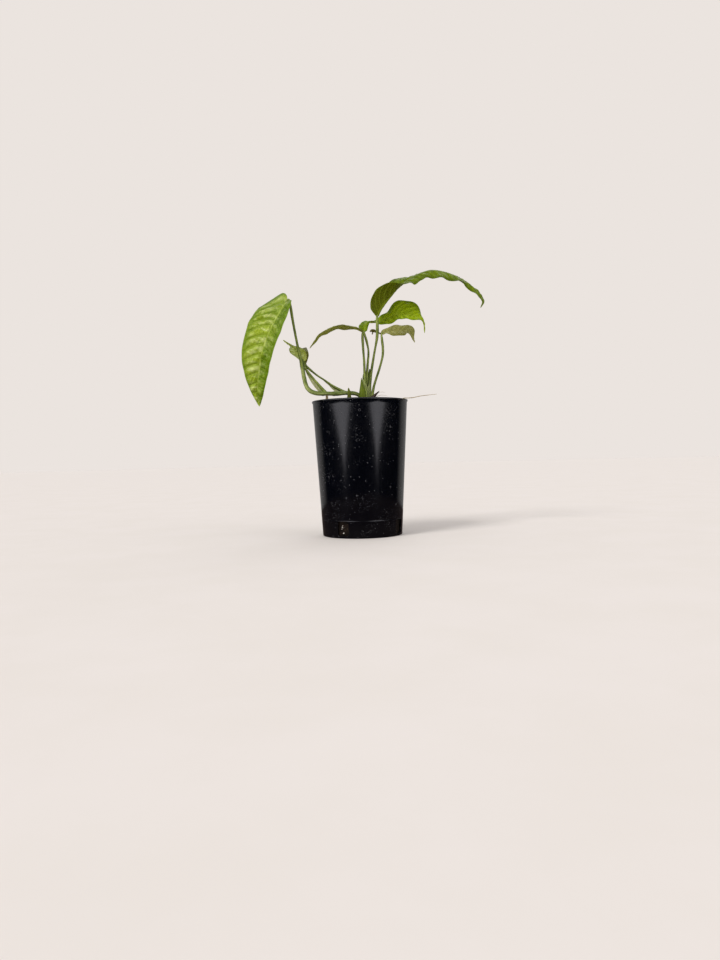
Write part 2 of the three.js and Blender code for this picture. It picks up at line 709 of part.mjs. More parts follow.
/** The middle surface made into a closed blade of even thickness. */
function blade(leaf) {
  const rows = bladeSurface(leaf);
  const [last, wide] = [rows.length - 1, rows[0].length];
  const span = (from, to) => new THREE.Vector3().subVectors(to, from);
  const positions = [];
  for (const side of [1, -1]) {
    for (let i = 0; i <= last; i += 1) {
      for (let j = 0; j < wide; j += 1) {
        const lengthwise = span(rows[Math.max(i - 1, 0)][j], rows[Math.min(i + 1, last)][j]);
        const crosswise = span(rows[i][Math.max(j - 1, 0)], rows[i][Math.min(j + 1, wide - 1)]);
        const normal = crosswise.cross(lengthwise).normalize();
        const point = rows[i][j].clone().addScaledVector(normal, (side * LEAF_THICKNESS) / 2);
        positions.push(point.x, point.y, point.z);
      }
    }
  }
  const indices = [];
  const under = (last + 1) * wide;
  const quad = (a, b, c, d) => indices.push(a, b, c, a, c, d);
  for (let i = 0; i < last; i += 1) {
    for (let j = 0; j < wide - 1; j += 1) {
      const a = i * wide + j;
      quad(a, a + 1, a + 1 + wide, a + wide);
      quad(under + a, under + a + wide, under + a + wide + 1, under + a + 1);
    }
    const left = i * wide;
    const right = left + wide - 1;
    quad(left, left + wide, under + left + wide, under + left);
    quad(right, under + right, under + right + wide, right + wide);
  }
  for (let j = 0; j < wide - 1; j += 1) {
    const tip = last * wide + j;
    quad(j, under + j, under + j + 1, j + 1);
    quad(tip, tip + 1, under + tip + 1, under + tip);
  }
  const geometry = new THREE.BufferGeometry();
  geometry.setAttribute('position', new THREE.BufferAttribute(new Float32Array(positions), 3));
  geometry.setIndex(indices);
  return geometry;
}

for (const [name, leaf] of Object.entries(leaves)) addPiece(plant, name, blade(leaf), leaf.look);

export default object;
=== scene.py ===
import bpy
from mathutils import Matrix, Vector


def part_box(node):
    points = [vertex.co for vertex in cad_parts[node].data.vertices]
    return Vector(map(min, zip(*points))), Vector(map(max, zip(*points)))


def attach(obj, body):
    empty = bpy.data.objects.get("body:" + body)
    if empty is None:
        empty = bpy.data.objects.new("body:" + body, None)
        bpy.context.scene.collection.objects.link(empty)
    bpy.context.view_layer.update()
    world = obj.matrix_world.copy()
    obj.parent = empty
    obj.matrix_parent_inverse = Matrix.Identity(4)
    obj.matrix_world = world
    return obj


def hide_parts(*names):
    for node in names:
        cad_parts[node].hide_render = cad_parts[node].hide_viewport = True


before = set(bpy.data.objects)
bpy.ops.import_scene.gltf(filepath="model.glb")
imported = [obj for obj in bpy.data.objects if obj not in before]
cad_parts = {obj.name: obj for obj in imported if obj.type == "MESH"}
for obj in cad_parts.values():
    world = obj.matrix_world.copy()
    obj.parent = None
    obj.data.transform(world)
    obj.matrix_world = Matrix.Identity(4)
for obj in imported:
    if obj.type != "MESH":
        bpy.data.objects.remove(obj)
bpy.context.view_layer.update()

# A young monstera in a small nursery pot: the fine surface and the materials, built round the packed
# frame. Shapes are worked out in millimetres. A plant's point is measured from the middle of the pot's
# rim, and a pot's point from the middle of its base.

import math

import bmesh
import bpy
import numpy as np
from mathutils import Matrix, Vector, noise

MM = 0.001
TAU = 2 * math.pi

pot_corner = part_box("nursery_pot")[1]
POT_HEIGHT = pot_corner.z / MM
RIM_RADIUS = pot_corner.x / MM  # outside of the lip
BASE_RADIUS = 33.2
WALL = 1.2
FLOOR = 1.5
LIP_HEIGHT = 1.6
LIP_PROUD = 0.5
MOULD_LINE = 13.7  # height of the faint raised line near the foot
DRAIN_COUNT = 4
DRAIN_WIDTH = 10
DRAIN_HEIGHT = 12
DRAIN_SILL = 2
DRAIN_CORNER = 2
DRAIN_TURN = -28  # degrees from the front to the first slot

MIX_CROWN_DROP = 1
MIX_EDGE_DROP = 8
MIX_PLATEAU = 17
MIX_SLOPE_END = 29


# ---- Numbers along a line

def unit(vectors):
    return vectors / np.maximum(np.linalg.norm(vectors, axis=-1, keepdims=True), 1e-9)


def smooth(values, low, high):
    share = np.clip((np.asarray(values, float) - low) / (high - low), 0, 1)
    return share * share * (3 - 2 * share)


def spline(points, shares):
    """A smooth line (Catmull-Rom) through points, read at shares from 0 to 1 of their number."""
    known = np.asarray(points, float)
    known = np.concatenate([[2 * known[0] - known[1]], known, [2 * known[-1] - known[-2]]])
    place = np.clip(np.asarray(shares, float), 0, 1) * (len(known) - 3)
    start = np.minimum(place.astype(int), len(known) - 4)
    f = (place - start).reshape(-1, *[1] * (known.ndim - 1))
    a, b, c, d = (known[start + k] for k in range(4))
    return 0.5 * (2 * b + (c - a) * f + (2 * a - 5 * b + 4 * c - d) * f**2 + (3 * b - a - 3 * c + d) * f**3)


def along(values, shares):
    """A number, or evenly spaced numbers read at shares."""
    return spline([values, values] if np.isscalar(values) else values, shares)


def line(points, shares):
    """Points and directions at even shares of a smooth line's length, and that length."""
    fine = np.linspace(0, 1, 801)
    steps = np.linalg.norm(np.diff(spline(points, fine), axis=0), axis=1)
    travelled = np.concatenate([[0], np.cumsum(steps)])
    at = np.interp(np.asarray(shares) * travelled[-1], travelled, fine)
    ahead = spline(points, np.minimum(at + 1e-3, 1))
    behind = spline(points, np.maximum(at - 1e-3, 0))
    return spline(points, at), unit(ahead - behind), travelled[-1]


def ripple(points, size, seed, waves=8):
    """Smooth seeded noise of about -1 to 1, with bumps about size across."""
    random = np.random.default_rng(seed)
    points = np.asarray(points, float)
    total = np.zeros(points.shape[:-1])
    for _ in range(waves):
        direction = random.normal(size=points.shape[-1]) * TAU / (2.4 * size)
        total += np.sin(points @ direction + random.uniform(0, TAU))
    return total / math.sqrt(waves)


def bell(values, width):
    """1 where values are 0, and nearly 0 from about twice the width."""
    return np.exp(-((values / width) ** 2))


# ---- Meshes

def quads(number):
    """Faces between the rows and columns of a grid of vertex numbers."""
    return np.stack([number[:-1, :-1], number[:-1, 1:], number[1:, 1:], number[1:, :-1]], -1).reshape(-1, 4)


def make_mesh(name, vertices, corners, attributes=None):
    """A smooth mesh in metres. Unused vertices go, and a face's repeated corners become one."""
    used, renumbered = np.unique(corners, return_inverse=True)
    faces = [tuple(dict.fromkeys(face)) for face in renumbered.reshape(np.shape(corners)).tolist()]
    mesh = bpy.data.meshes.new(name)
    mesh.from_pydata((np.asarray(vertices)[used] * MM).tolist(), [], [f for f in faces if len(f) > 2])
    for key, values in (attributes or {}).items():
        kind, field = ("FLOAT_VECTOR", "vector") if values.ndim == 2 else ("FLOAT", "value")
        data = mesh.attributes.new(key, kind, "POINT").data
        data.foreach_set(field, values[used].astype(np.float32).ravel())
    mesh.shade_smooth()
    return mesh


def on_plant(points):
    """From the middle of the rim to the middle of the base."""
    return np.asarray(points, float) + [0, 0, POT_HEIGHT]


def add_object(name, data):
    thing = bpy.data.objects.new(name, data)
    bpy.context.scene.collection.objects.link(thing)
    return thing


def add_piece(name, mesh, material, slot, *replaced):
    """A visible piece, and the CAD nodes that it stands for."""
    mesh.materials.clear()
    mesh.materials.append(material)
    piece = add_object(name, mesh)
    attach(piece, "root")
    if replaced:
        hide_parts(*replaced)


def round_skin(name, rings, grain):
    """A closed mesh over rings of points (rings, sides, 3), whose ends shrink to a point each."""
    count, sides = rings.shape[:2]
    number = np.arange(count * sides).reshape(count, sides)
    number[0] = number[0, 0]
    number[-1] = number[-1, 0]
    number = np.concatenate([number, number[:, :1]], axis=1)
    return make_mesh(name, rings.reshape(-1, 3), quads(number), {"grain": grain.reshape(-1, 3)})


def frames(tangents, first=(0.1, 1, 0.05)):
    """Two directions across a line at each of its points, with no twist."""
    across = [unit(np.cross(tangents[0], first))]
    for tangent in tangents[1:]:
        across.append(unit(across[-1] - tangent * (across[-1] @ tangent)))
    across = np.array(across)
    return across, np.cross(tangents, across)


def grain_of(first, second, lengthwise):
    """A surface's own coordinates, which the materials follow: two across it and one along it."""
    return np.stack(np.broadcast_arrays(first, second, lengthwise[:, None]), -1)


KNOB_SIZE = 3.5
LEAST_RADIUS = 0.02
POINT_LENGTH = 0.3
POINTED = (True, False)  # a round first end and a pointed last end


def add_tube(name, look, through, radii, rings, sides, section, knobs, seed, blunt=(True, True)):
    """A round stem. look is its material, its slot, which is not used, and the CAD node that it stands for,
    if any. Its radii are evenly spaced along it, and section shapes it: (angles, shares) -> factor."""
    shares = 0.5 - 0.5 * np.cos(np.linspace(0, math.pi, rings))
    centre, tangent, length = line(through, shares)
    across, up = frames(tangent)
    radius = np.maximum(along(radii, shares), LEAST_RADIUS)
    for is_blunt, gap in zip(blunt, (shares * length, (1 - shares) * length)):
        tip = radius.max() if is_blunt else POINT_LENGTH
        radius = radius * np.sqrt(1 - (1 - np.clip(gap / tip, 0, 1)) ** 2)
    angle = np.linspace(0, TAU, sides, endpoint=False)
    spread = radius[:, None] * (section(angle[None], shares[:, None]) if section else 1)
    spread = np.broadcast_to(spread, (rings, sides))[..., None]
    ways = across[:, None] * np.cos(angle)[None, :, None] + up[:, None] * np.sin(angle)[None, :, None]
    knobbly = 1 + knobs * ripple(centre[:, None] + ways * spread, KNOB_SIZE, seed)[..., None]
    skin = centre[:, None] + ways * (spread * knobbly)
    grain = grain_of(np.cos(angle) * 2, np.sin(angle) * 2, shares * length)
    add_piece(name, round_skin(name, on_plant(skin), grain), *look)


def thin_body(name, surface, normal, half, attributes, under_extra=0):
    """A closed thin body round a grid of points, half thick on each side, that thins out to its outline."""
    rows, columns = surface.shape[:2]
    number = np.arange(rows * columns).reshape(rows, columns)
    number[0] = number[0, 0]
    number[-1] = number[-1, 0]
    under = number.copy()
    under[1:-1, 1:-1] = rows * columns + np.arange((rows - 2) * (columns - 2)).reshape(rows - 2, columns - 2)
    out = np.abs(np.linspace(-1, 1, columns))[None]
    lengthwise = np.abs(np.linspace(-1, 1, rows))[:, None]
    thick = half * np.sqrt(1 - out**10) * np.sqrt(1 - lengthwise**40)
    upper = surface + normal * thick[..., None]
    lower = surface - normal * (thick + under_extra * np.sqrt(1 - out**10))[..., None]
    vertices = np.vstack([upper.reshape(-1, 3), lower[1:-1, 1:-1].reshape(-1, 3)])
    both = {}
    for key, values in {**attributes, "upper": np.ones((rows, columns))}.items():
        tail = values.shape[2:]
        beneath = values[1:-1, 1:-1] * (0 if key == "upper" else 1)
        both[key] = np.concatenate([values.reshape(-1, *tail), beneath.reshape(-1, *tail)])
    return make_mesh(name, vertices, np.vstack([quads(number), quads(under)[:, ::-1]]), both)


def grid_normals(surface, fallback):
    lengthwise = np.gradient(surface, axis=0)
    crosswise = np.gradient(surface, axis=1)
    normal = np.cross(crosswise, lengthwise)
    size = np.linalg.norm(normal, axis=-1, keepdims=True)
    return np.where(size > 1e-7, normal / np.maximum(size, 1e-9), fallback)


# ---- Materials

def colour(red, green, blue):
    """A colour given as 0 to 255 on a screen."""
    steps = [value / 255 for value in (red, green, blue)]
    return (*[s / 12.92 if s <= 0.04045 else ((s + 0.055) / 1.055) ** 2.4 for s in steps], 1)


class Nodes:
    """A node tree. Each call adds a node and gives back the socket that it makes."""

    def __init__(self, tree):
        self.tree = tree

    def put(self, node, socket, value):
        if isinstance(value, bpy.types.NodeSocket):
            self.tree.links.new(value, node.inputs[socket])
        else:
            node.inputs[socket].default_value = value

    def add(self, kind, inputs, output=0, **settings):
        node = self.tree.nodes.new("ShaderNode" + kind)
        for setting, value in settings.items():
            setattr(node, setting, value)
        for socket, value in inputs.items():
            self.put(node, socket, value)
        return node.outputs[output]

    def attribute(self, name, output="Fac"):
        return self.add("Attribute", {}, output, attribute_name=name)

    def place(self):
        """The point in the row frame, in millimetres."""
        return self.scaled(self.add("TexCoord", {}, "Object"), (1 / MM, 1 / MM, 1 / MM))

    def scaled(self, vector, scale):
        return self.add("VectorMath", {0: vector, 1: scale}, operation="MULTIPLY")

    def split(self, vector, axis):
        return self.add("SeparateXYZ", {0: vector}, axis)

    def math(self, operation, first, second=0.0):
        return self.add("Math", {0: first, 1: second}, operation=operation)

    def times(self, first, second):
        return self.math("MULTIPLY", first, second)

    def plus(self, first, second):
        return self.math("ADD", first, second)

    def rest(self, share):
        """What share leaves of 1."""
        return self.math("SUBTRACT", 1, share)

    def step(self, value, low, high, start=0.0, end=1.0):
        """A smooth step from start to end as value goes from low to high."""
        inputs = dict(enumerate((value, low, high, start, end)))
        return self.add("MapRange", inputs, interpolation_type="SMOOTHSTEP")

    def mix(self, share, first, second):
        """From first at 0 to second at 1. Three numbers are a colour on a screen."""
        first, second = (colour(*c) if isinstance(c, tuple) else c for c in (first, second))
        return self.add("Mix", {0: share, 6: first, 7: second}, 2, data_type="RGBA")

    def noise(self, vector, size, detail=3.0, roughness=0.5, distortion=0.0):
        """Noise whose bumps are about size across, in the vector's unit."""
        inputs = {"Vector": vector, "Scale": 1 / size, "Detail": detail, "Roughness": roughness}
        return self.add("TexNoise", {**inputs, "Distortion": distortion}, "Fac")

    def cells(self, vector, size, feature="DISTANCE_TO_EDGE"):
        """Distances to the edges of cells about size across, or with "F1" to their middles."""
        return self.add("TexVoronoi", {"Vector": vector, "Scale": 1 / size}, "Distance", feature=feature)


class Finish(Nodes):
    """A material's nodes."""

    def __init__(self, name, **constants):
        self.material = bpy.data.materials.new(name)
        self.material.use_nodes = True
        super().__init__(self.material.node_tree)
        self.shader = self.tree.nodes["Principled BSDF"]
        for socket, value in constants.items():
            self.set(socket.replace("_", " "), value)

    def set(self, socket, value):
        self.put(self.shader, socket, value)

    def bump(self, *layers):
        """Each layer is a height, its strength and its depth in millimetres."""
        below = {}
        for height, strength, depth in layers:
            inputs = {"Height": height, "Strength": strength, "Distance": depth * MM, **below}
            below = {"Normal": self.add("Bump", inputs, "Normal")}
        self.set("Normal", below["Normal"])


def leaf_finish(name, light, deep, vein, under, sheen, gloss, shade, half, gap):
    """Upper side mottled from light to deep with paler veins, painted shade and a painted sheen, and a duller
    under side.
    """
    f = Finish(name, Subsurface_Weight=0.12, Subsurface_Radius=(0.8, 1.0, 0.25), Subsurface_Scale=0.0012,
               Specular_IOR_Level=gloss, Specular_Tint=(0.7, 0.85, 0.25, 1))
    grain = f.attribute("grain", "Vector")
    rib = f.attribute("rib")
    across = f.attribute("across")
    out = f.attribute("out")
    upper = f.attribute("upper")

    to_rib = f.math("PINGPONG", rib, 0.5)
    lateral = f.step(f.times(to_rib, gap), 0.15, 0.75, 1, 0)
    lateral = f.times(lateral, f.step(out, 0.8, 1.0, 1, 0.2))
    midrib = f.step(across, 0.35, 1.0, 1, 0)
    small = f.step(f.cells(grain, 0.34 * gap), 0.02, 0.10, 1, 0)
    fine = f.step(f.cells(grain, 0.8), 0.02, 0.14, 1, 0)
    uneven = f.times(f.math("SUBTRACT", f.noise(grain, 4, 3, 0.6), 0.5), 0.5)
    crown = f.step(f.plus(to_rib, uneven), 0.08, 0.42)

    patches = f.step(f.noise(grain, 14, 4, 0.6), 0.35, 0.68)
    mottle = f.step(f.noise(grain, 3.0, 4, 0.65), 0.3, 0.7)
    tone = f.plus(f.times(patches, 0.3), f.times(mottle, 0.22))
    # painted shade: darker in the valleys along the side veins
    tone = f.plus(tone, f.times(f.rest(crown), 0.26))
    # painted shade: darker towards the curled-back margin
    tone = f.plus(tone, f.step(out, 0.62, 0.9, 0, 0.35))
    # painted shade: darker towards the blade's base, by as much as shade
    base_shade = f.step(f.split(grain, "Y"), 34, 18, 0, shade)
    tone = f.plus(tone, base_shade)
    # painted shade in the hollows beside the midrib
    tone = f.math("MAXIMUM", tone, f.attribute("hollow_shade"))
    # painted shade: the left half darker, by as much as half
    left_half = f.step(f.split(grain, "X"), 0.5, -1.5)
    tone = f.plus(tone, f.times(left_half, half))
    top = f.mix(tone, light, deep)
    # painted highlight: the sheen colour laid on the crowns between the veins, less on the left half and near
    # the base
    painted_shine = f.times(crown, f.step(out, 0.9, 0.6))
    painted_shine = f.times(painted_shine, f.rest(f.times(left_half, 0.5)))
    painted_shine = f.times(painted_shine, f.rest(base_shade))
    clouds = f.step(f.noise(f.scaled(grain, (0.6, 1.6, 1)), 6, 3), 0.38, 0.64, 0.0, 0.8)
    top = f.mix(f.times(painted_shine, clouds), top, sheen)
    top = f.mix(f.times(small, 0.15), top, deep)
    top = f.mix(f.times(lateral, 0.2), top, vein)
    top = f.mix(f.times(midrib, 0.4), top, vein)
    low = f.mix(f.times(mottle, 0.35), under, deep)
    low = f.mix(f.times(small, 0.25), low, vein)
    low = f.mix(f.times(f.math("MAXIMUM", lateral, midrib), 0.6), low, vein)
    both = f.mix(upper, low, top)
    edge = f.step(out, 0.955, 0.995)
    both = f.mix(f.times(edge, 0.45), both, vein)
    spots = f.times(f.step(f.cells(grain, 7, "F1"), 0.10, 0.03), f.step(f.noise(grain, 20), 0.5, 0.6))
    both = f.mix(f.times(spots, 0.5), both, (120, 104, 52))
    f.set("Base Color", both)

    rough = f.plus(f.step(f.noise(grain, 5, 4, 0.6), 0.3, 0.7, 0.33, 0.5), f.times(small, 0.05))
    f.set("Roughness", f.plus(rough, f.times(f.rest(upper), 0.12)))
    f.bump((f.rest(small), 0.22, 0.1), (f.rest(fine), 0.12, 0.03), (f.noise(grain, 1.2, 2), 0.14, 0.06))
    return f.material


def stem_finish(name, light, deep, scar, gloss=0.42, dirt=0.0, edge=0.0):
    """Lengthwise streaks from light to deep, with scattered scars, and painted shade along the sides as much
    as edge says.
    """
    f = Finish(name, Subsurface_Weight=0.08, Subsurface_Radius=(0.8, 1.0, 0.3), Subsurface_Scale=0.001,
               Specular_Tint=(0.75, 0.85, 0.4, 1))
    grain = f.attribute("grain", "Vector")
    streaks = f.noise(f.scaled(grain, (1, 1, 0.06)), 0.45, 3, 0.6)
    patches = f.noise(f.scaled(grain, (0.4, 0.4, 1)), 9, 3, 0.6)
    tone = f.plus(f.times(f.step(streaks, 0.35, 0.65), 0.5), f.times(f.step(patches, 0.3, 0.7), 0.5))
    body = f.mix(tone, light, deep)
    # painted shade: darker towards the two sides that form the stem's outline from the front, so that it
    # looks round
    side = f.step(f.math("ABSOLUTE", f.split(grain, "X")), 0.9, 1.9, 0.0, edge)
    body = f.mix(side, body, deep)
    flecks = f.step(f.cells(f.scaled(grain, (1, 1, 0.45)), 1.3, "F1"), 0.26, 0.12)
    flecks = f.times(flecks, f.step(f.noise(grain, 5), 0.48, 0.6))
    body = f.mix(f.times(flecks, 0.7), body, scar)
    if dirt:
        body = f.mix(f.times(f.step(f.noise(grain, 1.6, 4, 0.7), 0.45, 0.65), dirt), body, scar)
    f.set("Base Color", body)
    f.set("Roughness", f.step(patches, 0.3, 0.7, gloss - 0.07, gloss + 0.1))
    f.bump((streaks, 0.5, 0.08), (flecks, 0.4, 0.06))
    return f.material


def pot_finish():
    """Glossy black plastic with dust, dried drops and faint scuffs."""
    f = Finish("pot_plastic", Specular_IOR_Level=0.5)
    place = f.place()
    height = f.split(place, "Z")
    dust_zone = f.step(f.noise(place, 19, 3, 0.55), 0.47, 0.62)
    specks = f.times(f.step(f.cells(place, 0.95, "F1"), 0.2, 0.1), dust_zone)
    few = f.step(f.cells(place, 3.6, "F1"), 0.11, 0.05)
    rings = f.cells(place, 4.4, "F1")
    ring = f.times(f.step(rings, 0.17, 0.21), f.step(rings, 0.26, 0.22))
    ring = f.times(ring, f.step(f.noise(place, 9), 0.57, 0.66))
    marks = f.math("MAXIMUM", f.math("MAXIMUM", specks, f.times(few, 0.8)), f.times(ring, 0.5))
    film = f.times(f.step(f.noise(place, 8, 5, 0.7), 0.45, 0.75), 0.006)
    low_film = f.step(height, 16, 1, 0.0, 0.01)
    haze = f.plus(film, low_film)
    body = f.mix(haze, (3, 4, 9), (130, 122, 112))
    f.set("Base Color", f.mix(f.times(marks, 0.24), body, (190, 190, 194)))
    scuff = f.noise(f.scaled(place, (1, 1, 0.16)), 0.8, 4, 0.65)
    rough = f.plus(f.step(scuff, 0.4, 0.75, 0.1, 0.15), f.times(marks, 0.4))
    f.set("Roughness", f.plus(rough, f.times(haze, 1.6)))
    f.bump((f.noise(place, 2.2, 2), 0.12, 0.03), (scuff, 0.1, 0.01), (marks, 0.5, 0.04))
    return f.material


def soil_finish(name, dark, warm, pale):
    f = Finish(name, Specular_IOR_Level=0.15)
    place = f.place()
    lumps = f.noise(place, 2.6, 5, 0.65)
    fibres = f.noise(f.scaled(place, (1, 0.2, 1)), 0.7, 4, 0.6, 1.5)
    body = f.mix(f.step(lumps, 0.35, 0.65), dark, warm)
    body = f.mix(f.step(fibres, 0.56, 0.7, 0, 0.55), body, pale)
    # painted shade: darker towards the bottom, where the mix lies in the shade inside the pot
    body = f.mix(f.step(f.split(place, "Z"), 40, 15, 0, 0.8), body, (10, 8, 7))
    f.set("Base Color", f.mix(f.step(f.cells(place, 1.5, "F1"), 0.16, 0.08, 0, 0.6), body, pale))
    f.set("Roughness", f.step(lumps, 0.3, 0.7, 0.95, 0.75))
    f.bump((lumps, 0.8, 0.5), (fibres, 0.6, 0.2))
    return f.material


def bark_finish(name, dark, warm, pale):
    f = Finish(name)
    place = f.place()
    layers = f.noise(f.scaled(place, (0.35, 1, 2.2)), 1.5, 5, 0.65, 0.8)
    pores = f.cells(f.scaled(place, (0.5, 1, 1.5)), 1.1)
    body = f.mix(f.step(layers, 0.3, 0.7), dark, warm)
    body = f.mix(f.step(f.noise(place, 3.5, 3), 0.55, 0.7, 0, 0.5), body, pale)
    f.set("Base Color", f.mix(f.step(pores, 0.12, 0.02, 0, 0.7), body, (30, 19, 12)))
    f.set("Roughness", f.step(layers, 0.3, 0.7, 0.92, 0.7))
    f.bump((layers, 0.9, 0.35), (pores, 0.5, 0.15))
    return f.material


def perlite_finish():
    f = Finish("perlite", Subsurface_Weight=0.1, Subsurface_Radius=(1, 1, 1), Subsurface_Scale=0.0005)
    place = f.place()
    pits = f.cells(place, 0.55, "F1")
    body = f.mix(f.step(f.noise(place, 1.6, 4, 0.6), 0.4, 0.7), (236, 232, 224), (206, 196, 180))
    f.set("Base Color", f.mix(f.step(pits, 0.5, 0.1, 0, 0.5), body, (170, 158, 140)))
    f.set("Roughness", f.step(pits, 0.1, 0.6, 0.95, 0.8))
    f.bump((pits, 0.7, 0.2), (f.noise(place, 0.3, 3), 0.5, 0.06))
    return f.material


POT_BLACK = pot_finish()
SOIL = soil_finish("potting_mix", (26, 18, 13), (62, 44, 31), (120, 92, 66))
# painted shade: a near-black copy of the mix for the crumbs seen through the drain slots, inside the pot's
# shade
SHADED_SOIL = soil_finish("shaded_mix", (8, 7, 6), (24, 19, 15), (58, 46, 36))
BARK = bark_finish("bark", (50, 34, 23), (112, 80, 54), (160, 118, 80))
SPLINTER = bark_finish("dark_bark", (34, 24, 18), (76, 56, 40), (110, 84, 60))
PERLITE = perlite_finish()
# edge sets the painted shade along the stems' sides
STEM = stem_finish("stem", (158, 170, 88), (60, 80, 18), (92, 84, 44), edge=0.85)
VINE = stem_finish("vine", (178, 188, 118), (80, 100, 38), (104, 90, 50), dirt=0.12, edge=0.8)
SHEATH = stem_finish("sheath", (158, 166, 104), (96, 112, 46), (128, 112, 72), gloss=0.5)
MEMBRANE = stem_finish("sheath_membrane", (196, 198, 150), (134, 138, 88), (134, 118, 80), gloss=0.52)
SHOOT = stem_finish("young_shoot", (102, 118, 6), (62, 78, 0), (72, 70, 20), gloss=0.5)
DRY = stem_finish("dry_tissue", (116, 108, 52), (66, 60, 30), (60, 44, 26), gloss=0.75, dirt=0.5)
STUB = stem_finish("stub", (104, 114, 36), (64, 74, 18), (82, 62, 34), gloss=0.7, dirt=0.4)
ROOT = stem_finish("root", (186, 168, 128), (132, 112, 78), (92, 70, 44), gloss=0.8, dirt=0.3)


# ---- Camera, floor and light

CAMERA_PLACE = (-1.33, -605.4, 65.5)
CAMERA_DOWN = math.radians(1.858)
CAMERA_ROLL = math.radians(1.325)
CAMERA_LENS = 27.04
FLOOR_RADIUS = 6000
MIRRORED_RADIUS = 250


def add_camera():
    forward = Vector((0, math.cos(CAMERA_DOWN), -math.sin(CAMERA_DOWN)))
    level, upright = Vector((1, 0, 0)), Vector((0, math.sin(CAMERA_DOWN), math.cos(CAMERA_DOWN)))
    cosine, sine = math.cos(CAMERA_ROLL), math.sin(CAMERA_ROLL)
    axes = Matrix((level * cosine - upright * sine, level * sine + upright * cosine, -forward)).transposed()
    data = bpy.data.cameras.new("camera")
    data.lens = CAMERA_LENS
    data.clip_start, data.clip_end = 0.01, 100
    camera = add_object("camera", data)
    camera.matrix_world = Matrix.Translation(Vector(CAMERA_PLACE) * MM) @ axes.to_4x4()
    bpy.context.scene.camera = camera


def disc(name, radius, height, material):
    sides = 128
    angle = np.linspace(0, TAU, sides, endpoint=False)
    ring = np.stack([radius * np.cos(angle), radius * np.sin(angle), np.full(sides, height)], -1)
    mesh = make_mesh(name, ring, [list(range(sides))])
    mesh.materials.append(material)
    floor = add_object(name, mesh)
    return floor


def add_floor():
    """A wide pale floor. The glossy pot mirrors only a small warm disc of it, as on a table top."""
    f = Finish("floor_pale", Roughness=0.9, Specular_IOR_Level=0.2)
    grain = f.noise(f.place(), 60, 4, 0.6)
    f.set("Base Color", f.mix(f.step(grain, 0.3, 0.7), (235, 229, 226), (233, 227, 223)))
    floor = disc("floor", FLOOR_RADIUS, 0, f.material)
    floor.visible_glossy = False

    f = Finish("floor_mirrored", Roughness=0.9)
    grain = f.noise(f.place(), 80)
    f.set("Base Color", f.mix(f.step(grain, 0.3, 0.7), (170, 142, 136), (160, 134, 128)))
    mirrored = disc("floor_mirrored", MIRRORED_RADIUS, -0.05, f.material)
    mirrored.visible_camera = mirrored.visible_diffuse = False
    mirrored.visible_shadow = mirrored.visible_transmission = False


WALL_COLOUR = (235, 228, 223)  # what the camera sees past the floor
DIM_COLOUR = (26, 28, 35)
BRIGHT_COLOUR = (250, 246, 243)
WORLD_STRENGTH = 0.58
WINDOWS = ((-0.77, 4.6), (0.72, 4.0))  # how far each is turned from the front, and how fast it widens upwards
WINDOW_COLOUR = (250, 248, 255)
WINDOW_STRENGTH = 1.3


def add_world():
    """A pale studio: bright behind and above, dim in front and below, with two soft windows in front."""
    world = bpy.data.worlds.new("studio")
    world.use_nodes = True
    bpy.context.scene.world = world
    w = Nodes(world.node_tree)
    w.tree.nodes.clear()
    way = w.add("TexCoord", {}, "Generated")
    x, y, z = (w.split(way, axis) for axis in "XYZ")

    behind = w.step(y, 0.28, 0.62, 0, 0.62)
    above = w.step(z, 0.02, 0.45, 0, 0.95)
    room = w.mix(w.math("MAXIMUM", behind, above), DIM_COLOUR, BRIGHT_COLOUR)
    turn = w.math("ARCTAN2", x, w.times(y, -1))
    rise = w.plus(z, 0.115)
    glow = 0.0
    for azimuth, spread in WINDOWS:
        offset = w.math("ABSOLUTE", w.math("SUBTRACT", turn, azimuth))
        window = w.step(w.math("SUBTRACT", w.times(rise, spread), offset), -0.03, 0.05)
        glow = w.math("MAXIMUM", glow, w.times(window, w.step(z, 0.3, 0.05)))
    room = w.mix(glow, room, WINDOW_COLOUR)
    strength = w.plus(WORLD_STRENGTH, w.times(glow, WINDOW_STRENGTH))

    seen = w.add("Background", {"Color": colour(*WALL_COLOUR)})
    lit = w.add("Background", {"Color": room, "Strength": strength})
    to_camera = w.add("LightPath", {}, "Is Camera Ray")
    chosen = w.add("MixShader", {0: to_camera, 1: lit, 2: seen})
    w.put(w.tree.nodes.new("ShaderNodeOutputWorld"), "Surface", chosen)


def add_light(name, place, spread, strength, tint):
    """A far light that shines from place towards the plant; spread is its width in degrees."""
    data = bpy.data.lights.new(name, "SUN")
    data.angle = math.radians(spread)
    data.energy = strength
    data.color = tint
    light = add_object(name, data)
    light.rotation_euler = (-Vector(place)).to_track_quat("-Z", "Y").to_euler()


def add_stage():
    add_camera()
    add_floor()
    add_world()
    add_light("window", (-1.0, -1.0, 1.25), 20, 1.6, (1, 0.985, 0.95))
    add_light("fill", (1.3, -0.6, 0.8), 60, 0.35, (1, 0.98, 0.96))
    add_light("back", (0.4, 1.2, 1.3), 50, 0.5, (1, 1, 1))
    bpy.context.scene.view_settings.view_transform = "Standard"


# ---- Pot

def wall_radius(height):
    return BASE_RADIUS + (RIM_RADIUS - LIP_PROUD - BASE_RADIUS) * height / POT_HEIGHT


def arc(radius, height, size, start, end, count=6):
    """Profile points on an arc round (radius, height), from start to end degrees."""
    angles = np.radians(np.linspace(start, end, count))
    return [(radius + size * math.cos(a), height + size * math.sin(a)) for a in angles]


def lathe_rings(profile, sides):
    angle = np.linspace(0, TAU, sides, endpoint=False)
    radius, height = np.array(profile, float).T
    return np.stack([
        radius[:, None] * np.cos(angle),
        radius[:, None] * np.sin(angle),
        np.broadcast_to(height[:, None], (len(height), sides)),
    ], -1)


